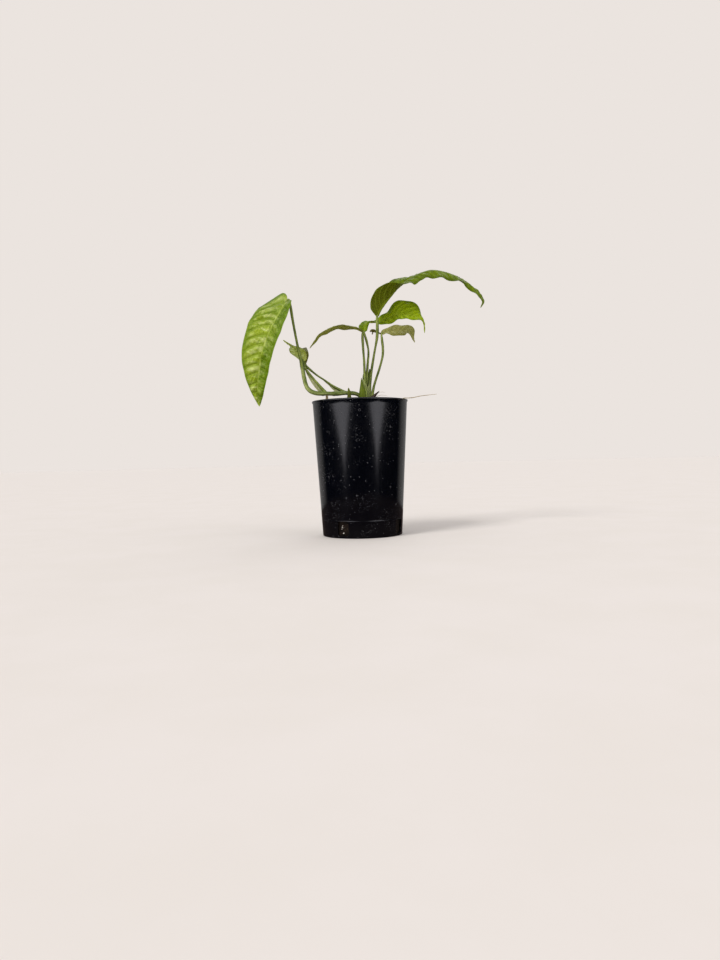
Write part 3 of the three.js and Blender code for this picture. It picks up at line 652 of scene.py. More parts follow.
def pot_profile():
    foot, edge = 1.1, 0.35
    lip_foot = POT_HEIGHT - LIP_HEIGHT
    profile = [(radius, 0) for radius in np.linspace(0, BASE_RADIUS - foot, 12)]
    profile += arc(wall_radius(foot) - foot, foot, foot, -80, 0)
    profile += [(wall_radius(z), z) for z in np.arange(3, MOULD_LINE - 1, 2.0)]
    profile += [(wall_radius(MOULD_LINE) + proud, MOULD_LINE + z)
                for z, proud in ((-0.6, 0), (-0.25, 0.035), (0.25, 0.035), (0.6, 0))]
    profile += [(wall_radius(z), z) for z in np.arange(MOULD_LINE + 2, lip_foot - 1, 4.0)]
    profile += [(wall_radius(lip_foot - 0.5), lip_foot - 0.5), (wall_radius(lip_foot) + 0.08, lip_foot)]
    profile += arc(RIM_RADIUS - 0.25, lip_foot + 0.45, 0.25, -60, 0, 4)
    profile += arc(RIM_RADIUS - edge, POT_HEIGHT - edge, edge, 0, 90)
    inner = wall_radius(POT_HEIGHT) - WALL
    profile += arc(inner + edge, POT_HEIGHT - edge, edge, 90, 180)
    profile += [(wall_radius(z) - WALL, z) for z in np.arange(POT_HEIGHT - 4, FLOOR + 4, -4.0)]
    profile += arc(wall_radius(FLOOR + 1.5) - WALL - 1.5, FLOOR + 1.5, 1.5, 0, -90)
    profile += [(radius, FLOOR) for radius in np.linspace(BASE_RADIUS - 5, 0, 8)]
    return profile


def drain_cutter(turn):
    """A block with rounded corners that passes through the wall at one side."""
    half, top = DRAIN_WIDTH / 2 - DRAIN_CORNER, DRAIN_SILL + DRAIN_HEIGHT - DRAIN_CORNER
    low = DRAIN_SILL + DRAIN_CORNER
    outline = arc(half, low, DRAIN_CORNER, -90, 0, 7) + arc(half, top, DRAIN_CORNER, 0, 90, 7)
    outline += arc(-half, top, DRAIN_CORNER, 90, 180, 7) + arc(-half, low, DRAIN_CORNER, 180, 270, 7)
    count = len(outline)
    points = [(x, y, z) for y in (-BASE_RADIUS - 6, -BASE_RADIUS + 8) for x, z in outline]
    faces = [tuple(range(count)), tuple(range(2 * count - 1, count - 1, -1))]
    faces += [(i + count, (i + 1) % count + count, (i + 1) % count, i) for i in range(count)]
    mesh = bpy.data.meshes.new("drain_cutter")
    mesh.from_pydata([Vector(p) * MM for p in points], [], faces)
    mesh.transform(Matrix.Rotation(math.radians(turn), 4, "Z"))
    return add_object("drain_cutter", mesh)


def cut(mesh, cutters):
    """The mesh with the cutters' space taken out of it."""
    body = add_object("cut_body", mesh)
    for cutter in cutters:
        modifier = body.modifiers.new("cut", "BOOLEAN")
        modifier.object = cutter
        modifier.solver = "EXACT"
    depsgraph = bpy.context.evaluated_depsgraph_get()
    result = bpy.data.meshes.new_from_object(body.evaluated_get(depsgraph))
    for used in (body, *cutters):
        bpy.data.objects.remove(used)
    return result


def add_pot():
    rings = lathe_rings(pot_profile(), 224)
    shell = round_skin("pot_shell", rings, np.zeros_like(rings))
    turns = [DRAIN_TURN + i * 360 / DRAIN_COUNT for i in range(DRAIN_COUNT)]
    shell = cut(shell, [drain_cutter(turn) for turn in turns])
    shell.shade_smooth()
    shell.set_sharp_from_angle(angle=math.radians(32))
    add_piece("tapered_pot", shell, POT_BLACK, "pot", "nursery_pot")


# ---- Potting mix, bark chips and perlite

def mix_top(radius):
    """Height of the mix above the rim plane, at a distance from the pot's axis."""
    return -MIX_CROWN_DROP - (MIX_EDGE_DROP - MIX_CROWN_DROP) * smooth(radius, MIX_PLATEAU, MIX_SLOPE_END)


def add_mix():
    """The whole plug of mix, lumpy on top and where the drain slots show it."""
    gap = 0.25
    edge = POT_HEIGHT + mix_top(RIM_RADIUS) - 0.6
    radii = np.linspace(0, wall_radius(FLOOR) - WALL - 0.5, 10)
    profile = [(radius, FLOOR + gap) for radius in radii]
    profile += [(wall_radius(z) - WALL - gap, z) for z in np.linspace(FLOOR + 1, 20, 26)]
    profile += [(wall_radius(z) - WALL - gap, z) for z in np.linspace(24, edge, 30)]
    top = np.linspace(wall_radius(edge) - WALL - gap - 0.4, 0, 72)
    profile += [(radius, POT_HEIGHT + float(mix_top(radius))) for radius in top]
    rings = lathe_rings(profile, 240)
    lump = 0.55 * ripple(rings, 2.6, 11) + 0.35 * ripple(rings, 1.1, 12, 12)
    is_top = rings[..., 2] > edge + 0.1
    is_side = (rings[..., 2] > FLOOR + 0.5) & ~is_top
    inner = np.hypot(rings[..., 0], rings[..., 1])
    near_wall = smooth(wall_radius(POT_HEIGHT) - WALL - inner, 0.2, 2.0)
    rings[..., 2] += np.where(is_top, lump * near_wall, 0)
    pull = np.where(is_side, 1 - np.maximum(lump + 0.5, 0) * 0.9 / RIM_RADIUS, 1)
    rings[..., :2] *= pull[..., None]
    mesh = round_skin("mix_body", rings, rings)
    add_piece("mix_body", mesh, SOIL, "potting_mix", "potting_mix")


def crumb_shape():
    """A small ball of points and its triangles, which every crumb is pulled out of shape from."""
    sphere = bpy.data.meshes.new("crumb_ball")
    ball = bmesh.new()
    bmesh.ops.create_icosphere(ball, subdivisions=2, radius=1)
    ball.to_mesh(sphere)
    ball.free()
    points = np.array([vertex.co for vertex in sphere.vertices])
    faces = np.array([face.vertices for face in sphere.polygons])
    bpy.data.meshes.remove(sphere)
    return points, faces


def add_crumbs(name, places, sizes, stretch, material, slot, seed):
    """Many small broken grains in one piece."""
    ball, triangles = crumb_shape()
    random = np.random.default_rng(seed)
    vertices, faces = [], []
    for number, (place, size) in enumerate(zip(places, sizes)):
        shape = ball * (1 + 0.28 * ripple(ball + 9 * number, 0.8, seed))[:, None]
        shape = shape * [size * random.uniform(*stretch), size, size * random.uniform(0.5, 0.8)]
        turn = Matrix.Rotation(random.uniform(0, TAU), 3, "Z")
        turn = turn @ Matrix.Rotation(random.normal(0, 0.5), 3, "X")
        vertices.append(shape @ np.array(turn).T + place)
        faces.append(triangles + number * len(ball))
    mesh = make_mesh(name, np.concatenate(vertices), np.concatenate(faces))
    add_piece(name, mesh, material, slot)


MIX_REACH = 36.5  # how far from the axis the crumbs lie


def mix_places(count, seed):
    """Seeded places on top of the mix."""
    random = np.random.default_rng(seed)
    radius = MIX_REACH * np.sqrt(random.uniform(0, 1, count))
    angle = random.uniform(0, TAU, count)
    x, y = radius * np.cos(angle), radius * np.sin(angle)
    return np.stack([x, y, POT_HEIGHT + mix_top(radius) + random.uniform(0.0, 0.5, count)], -1)


def slot_places(count, seed, depth=1.6):
    """Seeded places behind the drain slots, at a depth inside the wall."""
    random = np.random.default_rng(seed)
    places = []
    for number in range(count):
        turn = math.radians(DRAIN_TURN + (number % DRAIN_COUNT) * 360 / DRAIN_COUNT)
        sideways = random.uniform(-0.5, 0.5) * (DRAIN_WIDTH - 1.5)
        height = random.uniform(DRAIN_SILL + 0.6, DRAIN_SILL + DRAIN_HEIGHT - 1)
        inward = BASE_RADIUS - WALL - depth + random.uniform(-0.3, 0.5)
        places.append([
            inward * math.sin(turn) + sideways * math.cos(turn),
            -inward * math.cos(turn) + sideways * math.sin(turn),
            height,
        ])
    return np.array(places)


def nearer_slot_places(count, seed):
    return slot_places(count, seed, 1.2)


def add_all_crumbs():
    random = np.random.default_rng(40)
    crumbs = (
        ("mix_crumbs", mix_places, 520, 41, (0.35, 1.1), (1, 2.6), SOIL, "potting_mix"),
        ("bark_crumbs", mix_places, 150, 43, (0.4, 1.2), (1.2, 3), BARK, "bark"),
        ("perlite_crumbs", mix_places, 60, 45, (0.3, 0.9), (1, 1.4), PERLITE, "perlite"),
        # near-black crumbs behind the drain slots: painted shade
        ("slot_crumbs", slot_places, 96, 47, (0.5, 1.3), (1, 2), SHADED_SOIL, "potting_mix"),
        ("slot_perlite", nearer_slot_places, 28, 49, (0.4, 0.9), (1, 1.5), PERLITE, "perlite"),
    )
    for name, places, count, seed, sizes, stretch, material, slot in crumbs:
        drawn = random.uniform(*sizes, count)
        add_crumbs(name, places(count, seed), drawn, stretch, material, slot, seed + 1)


DIVISIONS = 3
WORN_DEPTH = 0.12
SHARP_EDGE = math.radians(42)


def broken_chunk(name, node, rough, ridges):
    """A CAD chunk with a fine broken surface: finely divided, then worn inwards by noise."""
    body = bmesh.new()
    body.from_mesh(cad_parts[node].data)
    bmesh.ops.remove_doubles(body, verts=body.verts, dist=1e-6)
    bmesh.ops.triangulate(body, faces=body.faces)
    for _ in range(DIVISIONS):
        bmesh.ops.subdivide_edges(body, edges=body.edges, cuts=1, use_grid_fill=True, smooth=0.35)
    body.normal_update()
    moves = []
    for vertex in body.verts:
        point = vertex.co / MM
        worn = noise.fractal(point * 0.8, 0.9, 2.1, 4) * rough
        worn += (noise.noise(Vector((point.x * 0.5, point.y * 0.5, point.z * 3.2))) - 0.3) * ridges
        moves.append(vertex.normal * (worn - WORN_DEPTH) * MM)
    for vertex, move in zip(body.verts, moves):
        vertex.co += move
    mesh = bpy.data.meshes.new(name)
    body.to_mesh(mesh)
    body.free()
    mesh.shade_smooth()
    mesh.set_sharp_from_angle(angle=SHARP_EDGE)
    return mesh


def add_chunks():
    for node in sorted(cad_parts):
        for start, material, slot, *wear in (("bark_chip", BARK, "bark", 0.32, 0.35),
                                             ("perlite", PERLITE, "perlite", 0.3, 0.1)):
            if node.startswith(start):
                add_piece(node + "_worn", broken_chunk(node + "_worn", node, *wear), material, slot, node)


# ---- Stems

def grooved(depth, turn):
    """A section with a shallow groove along one side."""
    return lambda angle, share: 1 - depth * bell(np.cos(angle - turn) - 1, 0.12)


def noded(places, size, turn):
    """A section that swells at the nodes, with a leaf scar ridge there."""
    def section(angle, share):
        factor = 1 - 0.12 * bell(np.cos(angle - turn) - 1, 0.2)
        for place in places:
            factor = factor + size * bell(share - place, 0.012)
        return factor
    return section


def add_stems():
    vine = [[2, 6, -3], [1.5, 5.6, 3], [-3, 3.5, 6.3], [-11, 0, 6.9], [-19.5, -4, 6.1], [-28, -8, 6.1],
            [-35, -10, 6.3], [-40.3, -11.5, 8.1], [-43.6, -12, 12.4], [-45.3, -12, 19.3], [-46.6, -12, 29]]
    radii = [1.7, 1.7, 1.8, 1.9, 1.9, 1.9, 1.9, 1.8, 1.7]
    nodes = noded((0.24, 0.43, 0.56, 0.97), 0.16, 0.6)
    add_tube("vine", (VINE, "stem", "vine_stem"), vine, radii, 220, 28, nodes, 0.05, 3)

    stems = {
        "drooping": (
            [[-46.5, -12, 27], [-47.6, -12.2, 34], [-49.2, -12.5, 41.8], [-50.9, -13, 51.5],
             [-53.1, -13.5, 65.2], [-54.8, -14, 78], [-55.7, -14, 82.3], [-57.1, -14, 82],
             [-58.6, -14.8, 79.8]],
            [1.7, 1.25, 1.1, 1, 1, 1.05, 1.15, 1.0, 0.6]),
        "left_arch": (
            [[4.2, -3.2, 8], [4.6, -3.4, 16], [4.5, -3.4, 23.4], [4.4, -3.4, 32], [3.7, -4, 45],
             [3.5, -4.4, 53.4], [3.8, -4.6, 56.6], [2.4, -5.4, 58.1]],
            [1.2, 1.1, 1.05, 1, 0.95, 1.0, 1.15, 0.7]),
        "right": (
            [[5.6, -1, 8], [6, -0.8, 15], [6.7, -0.6, 23.4], [7.6, 0.6, 32.5], [8.3, 1, 40.8],
             [7.2, 0.4, 48.5], [5.2, -0.4, 56], [5.2, 0.4, 58.6]],
            [1.2, 1.2, 1.15, 1.1, 1, 0.9, 1.15, 0.7]),
        "top_arch": (
            [[8, 3.5, -3], [8.3, 3.5, 6], [8.5, 3.5, 14.3], [10.5, 3, 26], [13.3, 1, 40.7], [15.5, -2, 51.8],
             [16, -4, 61.3], [15.9, -4, 68.3], [17.3, -3, 72]],
            [1.9, 1.8, 1.6, 1.15, 1, 0.9, 1.25, 1.25, 0.7]),
        "back": (
            [[9.5, 11.6, -6], [10.6, 12.6, 3], [12.5, 14, 13.6], [17.2, 18, 27.6], [20.4, 22, 38.4],
             [21.2, 24, 45.5], [20.7, 26.6, 54.6], [20.5, 27.9, 59.6], [22.6, 29, 61.4]],
            [1.4, 1.3, 1.1, 1, 1, 0.95, 1.05, 1.1, 0.6]),
        "cupped": (
            [[-27.5, -8, 6.6], [-30, -8.1, 9.2], [-34.9, -8.8, 15], [-40.5, -9.3, 21.8], [-44.4, -9.1, 27.4],
             [-45.6, -9, 32], [-47.2, -7.6, 35]],
            [1.5, 1.2, 1.0, 0.95, 1.05, 1.2, 0.7]),
        "shaded": (
            [[-12.5, 1.2, 7], [-16, 0.8, 9.6], [-22.1, -0.5, 13], [-28.6, -2, 17.6], [-34.2, -4, 21.2],
             [-39.7, -5.8, 25.6], [-43.6, -6.4, 29.4], [-44.4, -5.4, 33]],
            [1.4, 1.1, 0.8, 0.75, 0.75, 0.8, 1.05, 0.6]),
    }
    for number, (name, (through, radii)) in enumerate(stems.items()):
        look = STEM, "stem", "petiole_" + name
        groove = grooved(0.16, 1.2 + number)
        add_tube(name + "_stalk", look, through, radii, 130, 22, groove, 0.035, 20 + number)


WING_HALF = 0.16
WRAP_HALF = 0.2
WRAP_REACH = math.radians(205)  # each way round the crown
WRAP_TURN = math.radians(-60)


def add_ribbon(name, material, slot, seed, bulge, one_edge, other_edge):
    """A thin sheet between two lines, bulging sideways in the middle, that closes at both its ends."""
    shares = 0.5 - 0.5 * np.cos(np.linspace(0, math.pi, 70))
    first, tangent, length = line(one_edge, shares)
    second = line(other_edge, shares)[0]
    out = np.linspace(0, 1, 16)
    surface = first[:, None] + (second - first)[:, None] * out[None, :, None]
    sideways = unit(np.cross(second - first, tangent))
    swell = np.sin(math.pi * out)[None, :] * bulge + 0.18 * ripple(surface, 3, seed)
    surface = surface + sideways[:, None] * swell[..., None]
    normal = grid_normals(surface, sideways[:, None])
    grain = grain_of(out * 5, out * 0, shares * length)
    add_piece(name, thin_body(name, on_plant(surface), normal, WING_HALF, {"grain": grain}), material, slot)


def add_sheaths():
    """The wings of the two side petioles, and the wrap round the crown's petioles."""
    add_ribbon("cupped_wing", MEMBRANE, "sheath", 5, 0.9,
               [[-29, -8, 8], [-34.9, -8.8, 15.1], [-40.5, -9.3, 21.9], [-44.6, -9.2, 27.6]],
               [[-33.8, -9.4, 7.4], [-38.2, -10, 13.4], [-41.6, -10.2, 19.4], [-44.8, -9.5, 27]])
    add_ribbon("shaded_wing", MEMBRANE, "sheath", 6, 0.7,
               [[-10.2, 2, 8.4], [-18, 1.1, 11.9], [-23.7, -0.6, 15], [-29, -1.9, 18.2]],
               [[-19.5, 0.2, 7.4], [-23.2, -0.8, 10.9], [-26.4, -1.5, 14.2], [-29.6, -2.3, 17.3]])
    add_ribbon("top_arch_wing", STEM, "stem", 7, -0.6,
               [[7.6, 2.4, 2], [8, 2.6, 12], [8.6, 2.4, 20], [9.4, 2.6, 26.5]],
               [[5.4, 0.4, 2], [6, 0.6, 12], [7, 1.2, 20], [8.6, 2.4, 26.8]])

    rows, columns = 90, 44
    shares = np.linspace(0, 1, rows)
    middle = [[5.1, -2, -3], [5.3, -2, 6], [5.5, -2, 14], [5.8, -1.9, 20], [6, -1.8, 25.5]]
    centre, tangent, length = line(middle, shares)
    across, up = frames(tangent, (0, 1, 0))
    radius = along([3.1, 3.0, 2.8, 2.5, 2.1], shares) * (1 - 0.1 * smooth(shares, 0.8, 1))
    wrap = along([1.0, 1.0, 0.92, 0.72, 0.35, 0.04], shares) * WRAP_REACH
    angle = np.linspace(-1, 1, columns)[None] * wrap[:, None] + WRAP_TURN
    overlap = 1 + 0.16 * np.linspace(0, 1, columns)[None]
    spread = (radius[:, None] * overlap)[..., None]
    ways = across[:, None] * np.cos(angle)[..., None] + up[:, None] * np.sin(angle)[..., None]
    surface = centre[:, None] + ways * spread
    surface = surface + ways * (0.1 * ripple(surface * [1, 1, 0.3], 1.2, 8))[..., None]
    grain = grain_of(np.cos(angle) * 3, np.sin(angle) * 3, shares * length)
    normal = grid_normals(surface, ways)
    mesh = thin_body("crown_wrap", on_plant(surface), normal, WRAP_HALF, {"grain": grain})
    add_piece("crown_wrap", mesh, SHEATH, "sheath", "crown_sheath")


def add_shoot():
    """A new leaf still rolled up: a spike with the leaf's edge winding round it."""
    def rolled(angle, share):
        return 0.93 + 0.16 * np.mod(angle - 2.2 - 2.4 * share, TAU) / TAU
    add_tube("rolled_shoot", (SHOOT, "stem", "new_shoot"),
             [[2.2, -8, -4], [2.3, -8.4, 3], [2.2, -8.7, 8], [2, -8.9, 13.2], [1.7, -9, 18.4]],
             [2.6, 3.0, 3.0, 2.5, 1.7, 0.9, 0.12], 130, 40, rolled, 0.02, 31, POINTED)
    add_tube("shoot_scale", (STEM, "stem"),
             [[5.6, -8.4, -3], [5.6, -8.6, 3], [5.2, -8.8, 8], [4.7, -8.8, 11.4]],
             [1.2, 1.3, 1.0, 0.1], 60, 18, None, 0.06, 32, POINTED)


def add_dry_bits():
    def torn(angle, share):
        return 1 + 0.22 * np.cos(3 * angle + 4 * share) * smooth(share, 0.3, 1)
    add_tube("stub", (STUB, "dry_stem", "petiole_stub"),
             [[-8.4, -9, -4], [-8.5, -9.2, 2], [-8.8, -9.6, 6.5], [-9, -10, 10.4]],
             [2.0, 2.1, 1.7, 1.2, 0.5], 80, 24, torn, 0.08, 33)

    def crumpled(angle, share):
        return 1 + 0.35 * np.cos(2 * angle + 9 * share) + 0.25 * np.sin(5 * angle - 14 * share)
    add_tube("bract", (DRY, "dry_stem", "withered_bract"),
             [[20.2, 27.8, 60], [18.4, 27.6, 60.8], [16.4, 27.4, 61.9], [14.4, 27.2, 62.6], [12.2, 26.8, 63],
              [10.2, 26.2, 62.2]],
             [0.5, 0.6, 0.8, 1.0, 1.1, 0.5], 110, 20, crumpled, 0.12, 34, POINTED)
    add_tube("bract_tail", (DRY, "dry_stem"), [[13, 27, 62.6], [12.6, 27.1, 61], [12.2, 27.2, 59.4]],
             [0.6, 0.5, 0.2], 40, 12, crumpled, 0.1, 35, POINTED)


def add_roots():
    add_tube("air_root", (ROOT, "root", "aerial_root"),
             [[-27, -7.6, 5.6], [-27.1, -7, 2.6], [-27.3, -6.2, -1.5], [-27.6, -5.4, -8.2]],
             [1.0, 1.0, 1.05, 0.9, 0.8], 80, 18, None, 0.1, 36)

    def split(angle, share):
        return 1 + 0.25 * np.cos(2 * angle + 1) + 0.15 * np.cos(5 * angle + 6 * share)
    add_tube("splinter", (SPLINTER, "bark", "bark_sliver"),
             [[8.8, -7, -3], [9.1, -6.9, 0.8], [12, -6, 3.6], [14.4, -5.2, 5.6], [16.4, -4.4, 7.6]],
             [1.3, 1.6, 1.3, 0.8, 0.15], 80, 18, split, 0.1, 37, POINTED)

    rim = RIM_RADIUS
    add_tube("rim_fibre", (ROOT, "root", "root_fibre"),
             [[24, -9, -7], [rim - 9.5, -10.2, -1.8], [rim - 4.5, -11.3, 0.55], [rim, -12.5, 0.6],
              [rim + 4, -13.8, 0.8], [rim + 9, -15, 1.7], [rim + 15, -17, 2.2], [rim + 22.3, -19, 2.7]],
             [0.34, 0.32, 0.28, 0.25, 0.22, 0.14], 120, 10, None, 0.12, 38, POINTED)
    fibres = [
        [[11, 1, -1], [13, 1.5, 4.5], [16, 2, 6.8], [18.5, 2, 7.3], [21.6, 2, 6.8]],
        [[12, -1, -1], [14, -0.5, 3], [18, 0, 4.5], [23.4, 0.4, 3.8]],
        [[14, 5, -1], [19, 6, 2.5], [25, 6.5, 1.5], [29, 7.5, -5]],
        [[-15, -3, -1], [-20, -5, 0.5], [-24, -8, -3]],
        [[-4, 9, -1], [-10, 13, 1.2], [-17, 14, -1.5]],
    ]
    for number, through in enumerate(fibres):
        add_tube(f"fibre_{number + 1}", (ROOT, "root"), through, [0.16, 0.14, 0.12, 0.06], 60, 8, None, 0.1,
                 60 + number, POINTED)


# ---- Leaves

# midrib       points from the blade's base to its tip
# across       directions from the midrib to the right margin, evenly spaced along the blade
# left, right  half widths, evenly spaced along the blade
# fold, curl   degrees that a half rises towards the upper side, and what it bends on the way out
# wave, waves  height of the margin's waves and their number, and ruffle the height of the uneven ones
# dent         depth of the hollows beside the midrib, on the left half, which painted shade also darkens
# gap          between neighbouring side veins, quilt how far the blade puffs up between them
# dent         depth of the hollows beside the midrib, on the left half
# slant, bow   how side veins lean and bend towards the tip
# rib          height of the midrib beneath the blade
USUAL_LEAF = dict(waves=2, ruffle=0.3, lobe=0, slant=0.6, dent=0, rows=150, columns=26)
LEAVES = {
    "drooping": dict(
        midrib=[[-57, -14, 82], [-63.3, -18, 72], [-71, -21, 57], [-78, -21, 39.6], [-81.6, -18, 22.3],
                [-83.2, -14, 7.4], [-82.7, -10, -3.4]],
        across=[[-0.97, 0.2, -0.5], [-0.97, 0.2, -0.1], [-0.97, 0.2, 0]],
        left=[7, 12.6, 14.2, 14.8, 15.2, 15.2, 14.9, 14.5, 14.2, 13.7, 13, 11.9, 10.4, 8.6, 6.4, 3.6, 0.3],
        right=[9.2, 21.8, 24.2, 24, 23.2, 22.1, 20.9, 19.7, 18.6, 17.5, 16, 14, 11.6, 9, 6, 3.2, 0.3],
        left_fold=[20, 27, 32, 35, 37, 38, 36, 30, 20], right_fold=0, left_curl=-8, right_curl=-12,
        wave=0.25, waves=4, lobe=11, gap=7.6, quilt=1.4, slant=0.14, bow=0.022, rib=1.0, dent=1.5,
        rows=230, columns=40),
    "cupped": dict(
        midrib=[[-45.6, -9, 32.5], [-49.3, -5.5, 38], [-52.8, -1.5, 43.1], [-56.1, 2, 47.1], [-59.7, 4, 50],
                [-63.4, 5, 53]],
        across=[[0.75, 0.5, 0.3], [0.6, 0.5, 0.5], [0.3, 0.5, 0.8]],
        left=[3, 6.6, 7.4, 6, 1.7, 0.9, 0.3], right=[3, 5.6, 6.6, 5, 1.7, 0.9, 0.3],
        left_fold=25, right_fold=20, left_curl=0, right_curl=-10,
        wave=0.2, gap=3.6, quilt=0.3, bow=0.05, rib=0.8, rows=120, columns=24),
    "shaded": dict(
        midrib=[[-44.2, -6.2, 31.5], [-45, -3, 37.2], [-46.3, 2, 42.2], [-47.5, 9, 45.3], [-49.3, 16, 46.4],
                [-50.6, 21, 44.6]],
        across=[[0.9, 0.3, 0.2], [0.9, 0.3, 0.2]],
        left=[0.8, 3.5, 4.5, 4, 2.5, 0.3], right=[0.8, 3.5, 4, 3.7, 2.5, 0.3],
        left_fold=10, right_fold=10, left_curl=0, right_curl=0,
        wave=0.2, gap=3.4, quilt=0.3, bow=0.05, rib=0.8, rows=120, columns=22),
    "left_arch": dict(
        midrib=[[4, -4.4, 57], [-1.7, -8, 59.5], [-9, -12, 60.3], [-17, -16, 59.6], [-24.4, -19, 56.7],
                [-31.7, -20, 51.5], [-39.7, -19, 41.8]],
        across=[[0, 0.98, 0.22], [0, 0.98, 0.2], [0, 0.98, 0.15]],
        left=[2, 7, 8, 7.5, 6, 3.5, 0.3], right=[2, 7, 8, 7.5, 6, 3.5, 0.3],
        left_fold=10, right_fold=-14, left_curl=-10, right_curl=-20,
        wave=0.4, waves=3, gap=4.6, quilt=0.35, bow=0.04, rib=0.9),
    "right": dict(
        midrib=[[5, -0.6, 57], [5.7, 2, 62.5], [7.9, 6, 66.9], [12, 11, 67.8], [18, 13, 68.6],
                [24.8, 13, 70.7], [33.4, 12, 73.4], [42.6, 10, 72.9], [51.3, 7, 69.4],
                [55.4, 6, 65.1], [56, 6, 56.3]],
        across=[[0.95, 0.1, 0], [0.6, -0.4, -0.15], [0.05, -0.95, 0.1], [-0.05, -0.75, -0.55],
                [-0.2, -0.68, -0.65], [0, -0.78, -0.58], [0.05, -0.8, -0.55], [-0.2, -0.8, -0.45],
                [-0.7, -0.6, 0]],
        left=[3.4, 4.9, 4.8, 3.8, 3, 3.6, 4.8, 6.2, 9, 13, 13.8, 12.8, 9.8, 4.4, 1, 0.8, 0.3],
        right=[2.2, 2.8, 2.8, 2.8, 3.2, 4.4, 5.8, 6.2, 6.2, 6, 6.6, 6.6, 6, 3.6, 1, 0.8, 0.3],
        left_fold=[20, 30, 30, 35, 35, 40, 30, 20, 10], right_fold=[15, 0, -5, -15, -15, 0, 0, 0, 0],
        left_curl=-15, right_curl=-20,
        wave=0.6, waves=6, ruffle=0.45, gap=5.4, quilt=0.55, bow=0.03, rib=0.9, dent=0.6,
        rows=220, columns=34),
    "top_arch": dict(
        midrib=[[15.9, -4, 68.3], [18.5, -2, 74.6], [22.9, 0.5, 81], [28.2, 3.5, 87.9], [33.5, 6, 94],
                [38.3, 8, 98.5], [44, 9, 102.7], [51.7, 9, 106.6], [62.6, 8, 109.3], [74.3, 7, 107.3],
                [85, 6, 103.1], [94, 5, 96.8], [101.2, 4, 89.1], [105.4, 3, 81.3], [102.9, 3, 75.6]],
        across=[[-0.65, -0.5, 0.55], [-0.65, -0.5, 0.55], [-0.65, -0.55, 0.5], [-0.45, -0.82, 0.3],
                [-0.1, -0.97, -0.12], [0, -0.88, -0.45], *[[0, -0.78, -0.62]] * 3, [0, -0.74, -0.66],
                [0, -0.72, -0.7], [-0.05, -0.75, -0.65], [-0.1, -0.8, -0.6], [-0.3, -0.7, -0.55],
                [-0.5, -0.6, -0.5], [-0.6, -0.6, -0.3], [-0.7, -0.6, -0.1]],
        left=[6.5, 12, 12.6, 12, 10.8, 10.6, 11, 10.5, 9.6, 8, 6, 3.2, 0.3],
        right=[7, 13.2, 14, 12.8, 11.4, 11, 11, 11.5, 10, 8, 5.6, 3, 0.3],
        left_fold=[62, 80, 60, -5, -45, -45, -38, -25, 0], right_fold=[5, 5, 5, 0, 0, 0, 0, 0, 0],
        left_curl=-10, right_curl=-10, wave=[0, 0, 0, 0.6, 1.2, 1.5, 1.3, 0.8, 0.3], waves=7, ruffle=0.6,
        gap=6.2, quilt=0.5, bow=0.03, rib=1.0, dent=0.4, rows=260, columns=34),
    "back": dict(
        midrib=[[20.4, 28, 60], [24.4, 30, 62], [30.7, 32, 63.1], [37.8, 33, 63.4], [43.9, 33, 63],
                [47.3, 32, 59.6], [49.5, 31, 52.4]],
        across=[[0, -0.7, -0.6], [0, -0.75, -0.6], [-0.4, -0.6, -0.6]],
        left=[1.5, 4.5, 6.5, 7.5, 6.4, 2.2, 0.3], right=[1.5, 4.5, 6, 6.5, 5.4, 2, 0.3],
        left_fold=30, right_fold=0, left_curl=-20, right_curl=-20,
        wave=0.5, waves=3, ruffle=1.0, gap=4.4, quilt=0.35, bow=0.04, rib=0.7),
}
BASE_ROUND = 0.025  # share of a blade's length over which its base widens
LOBE_PEAK = 0.026  # share of the length at which the lobe reaches furthest back
TIP_ROUND = 0.012
HALF_BLADE = 0.2  # of the blade's thickness
OPPOSITE_VEINS = 0.42  # share of a gap by which the right half's veins are ahead
ROW_CROWDING = 0.35  # how much closer the rows are at both ends
COLUMN_CROWDING = 1.15  # more than 1 brings the columns closer to the midrib
GROOVE_DEPTH = 0.28  # along the midrib, on the upper side
GROOVE_WIDTH = 0.8
VEIN_SINK = 0.2  # share of the quilting by which a side vein sinks in
VEIN_RISE = 0.12  # a side vein's height beneath the blade, as a share of the midrib's


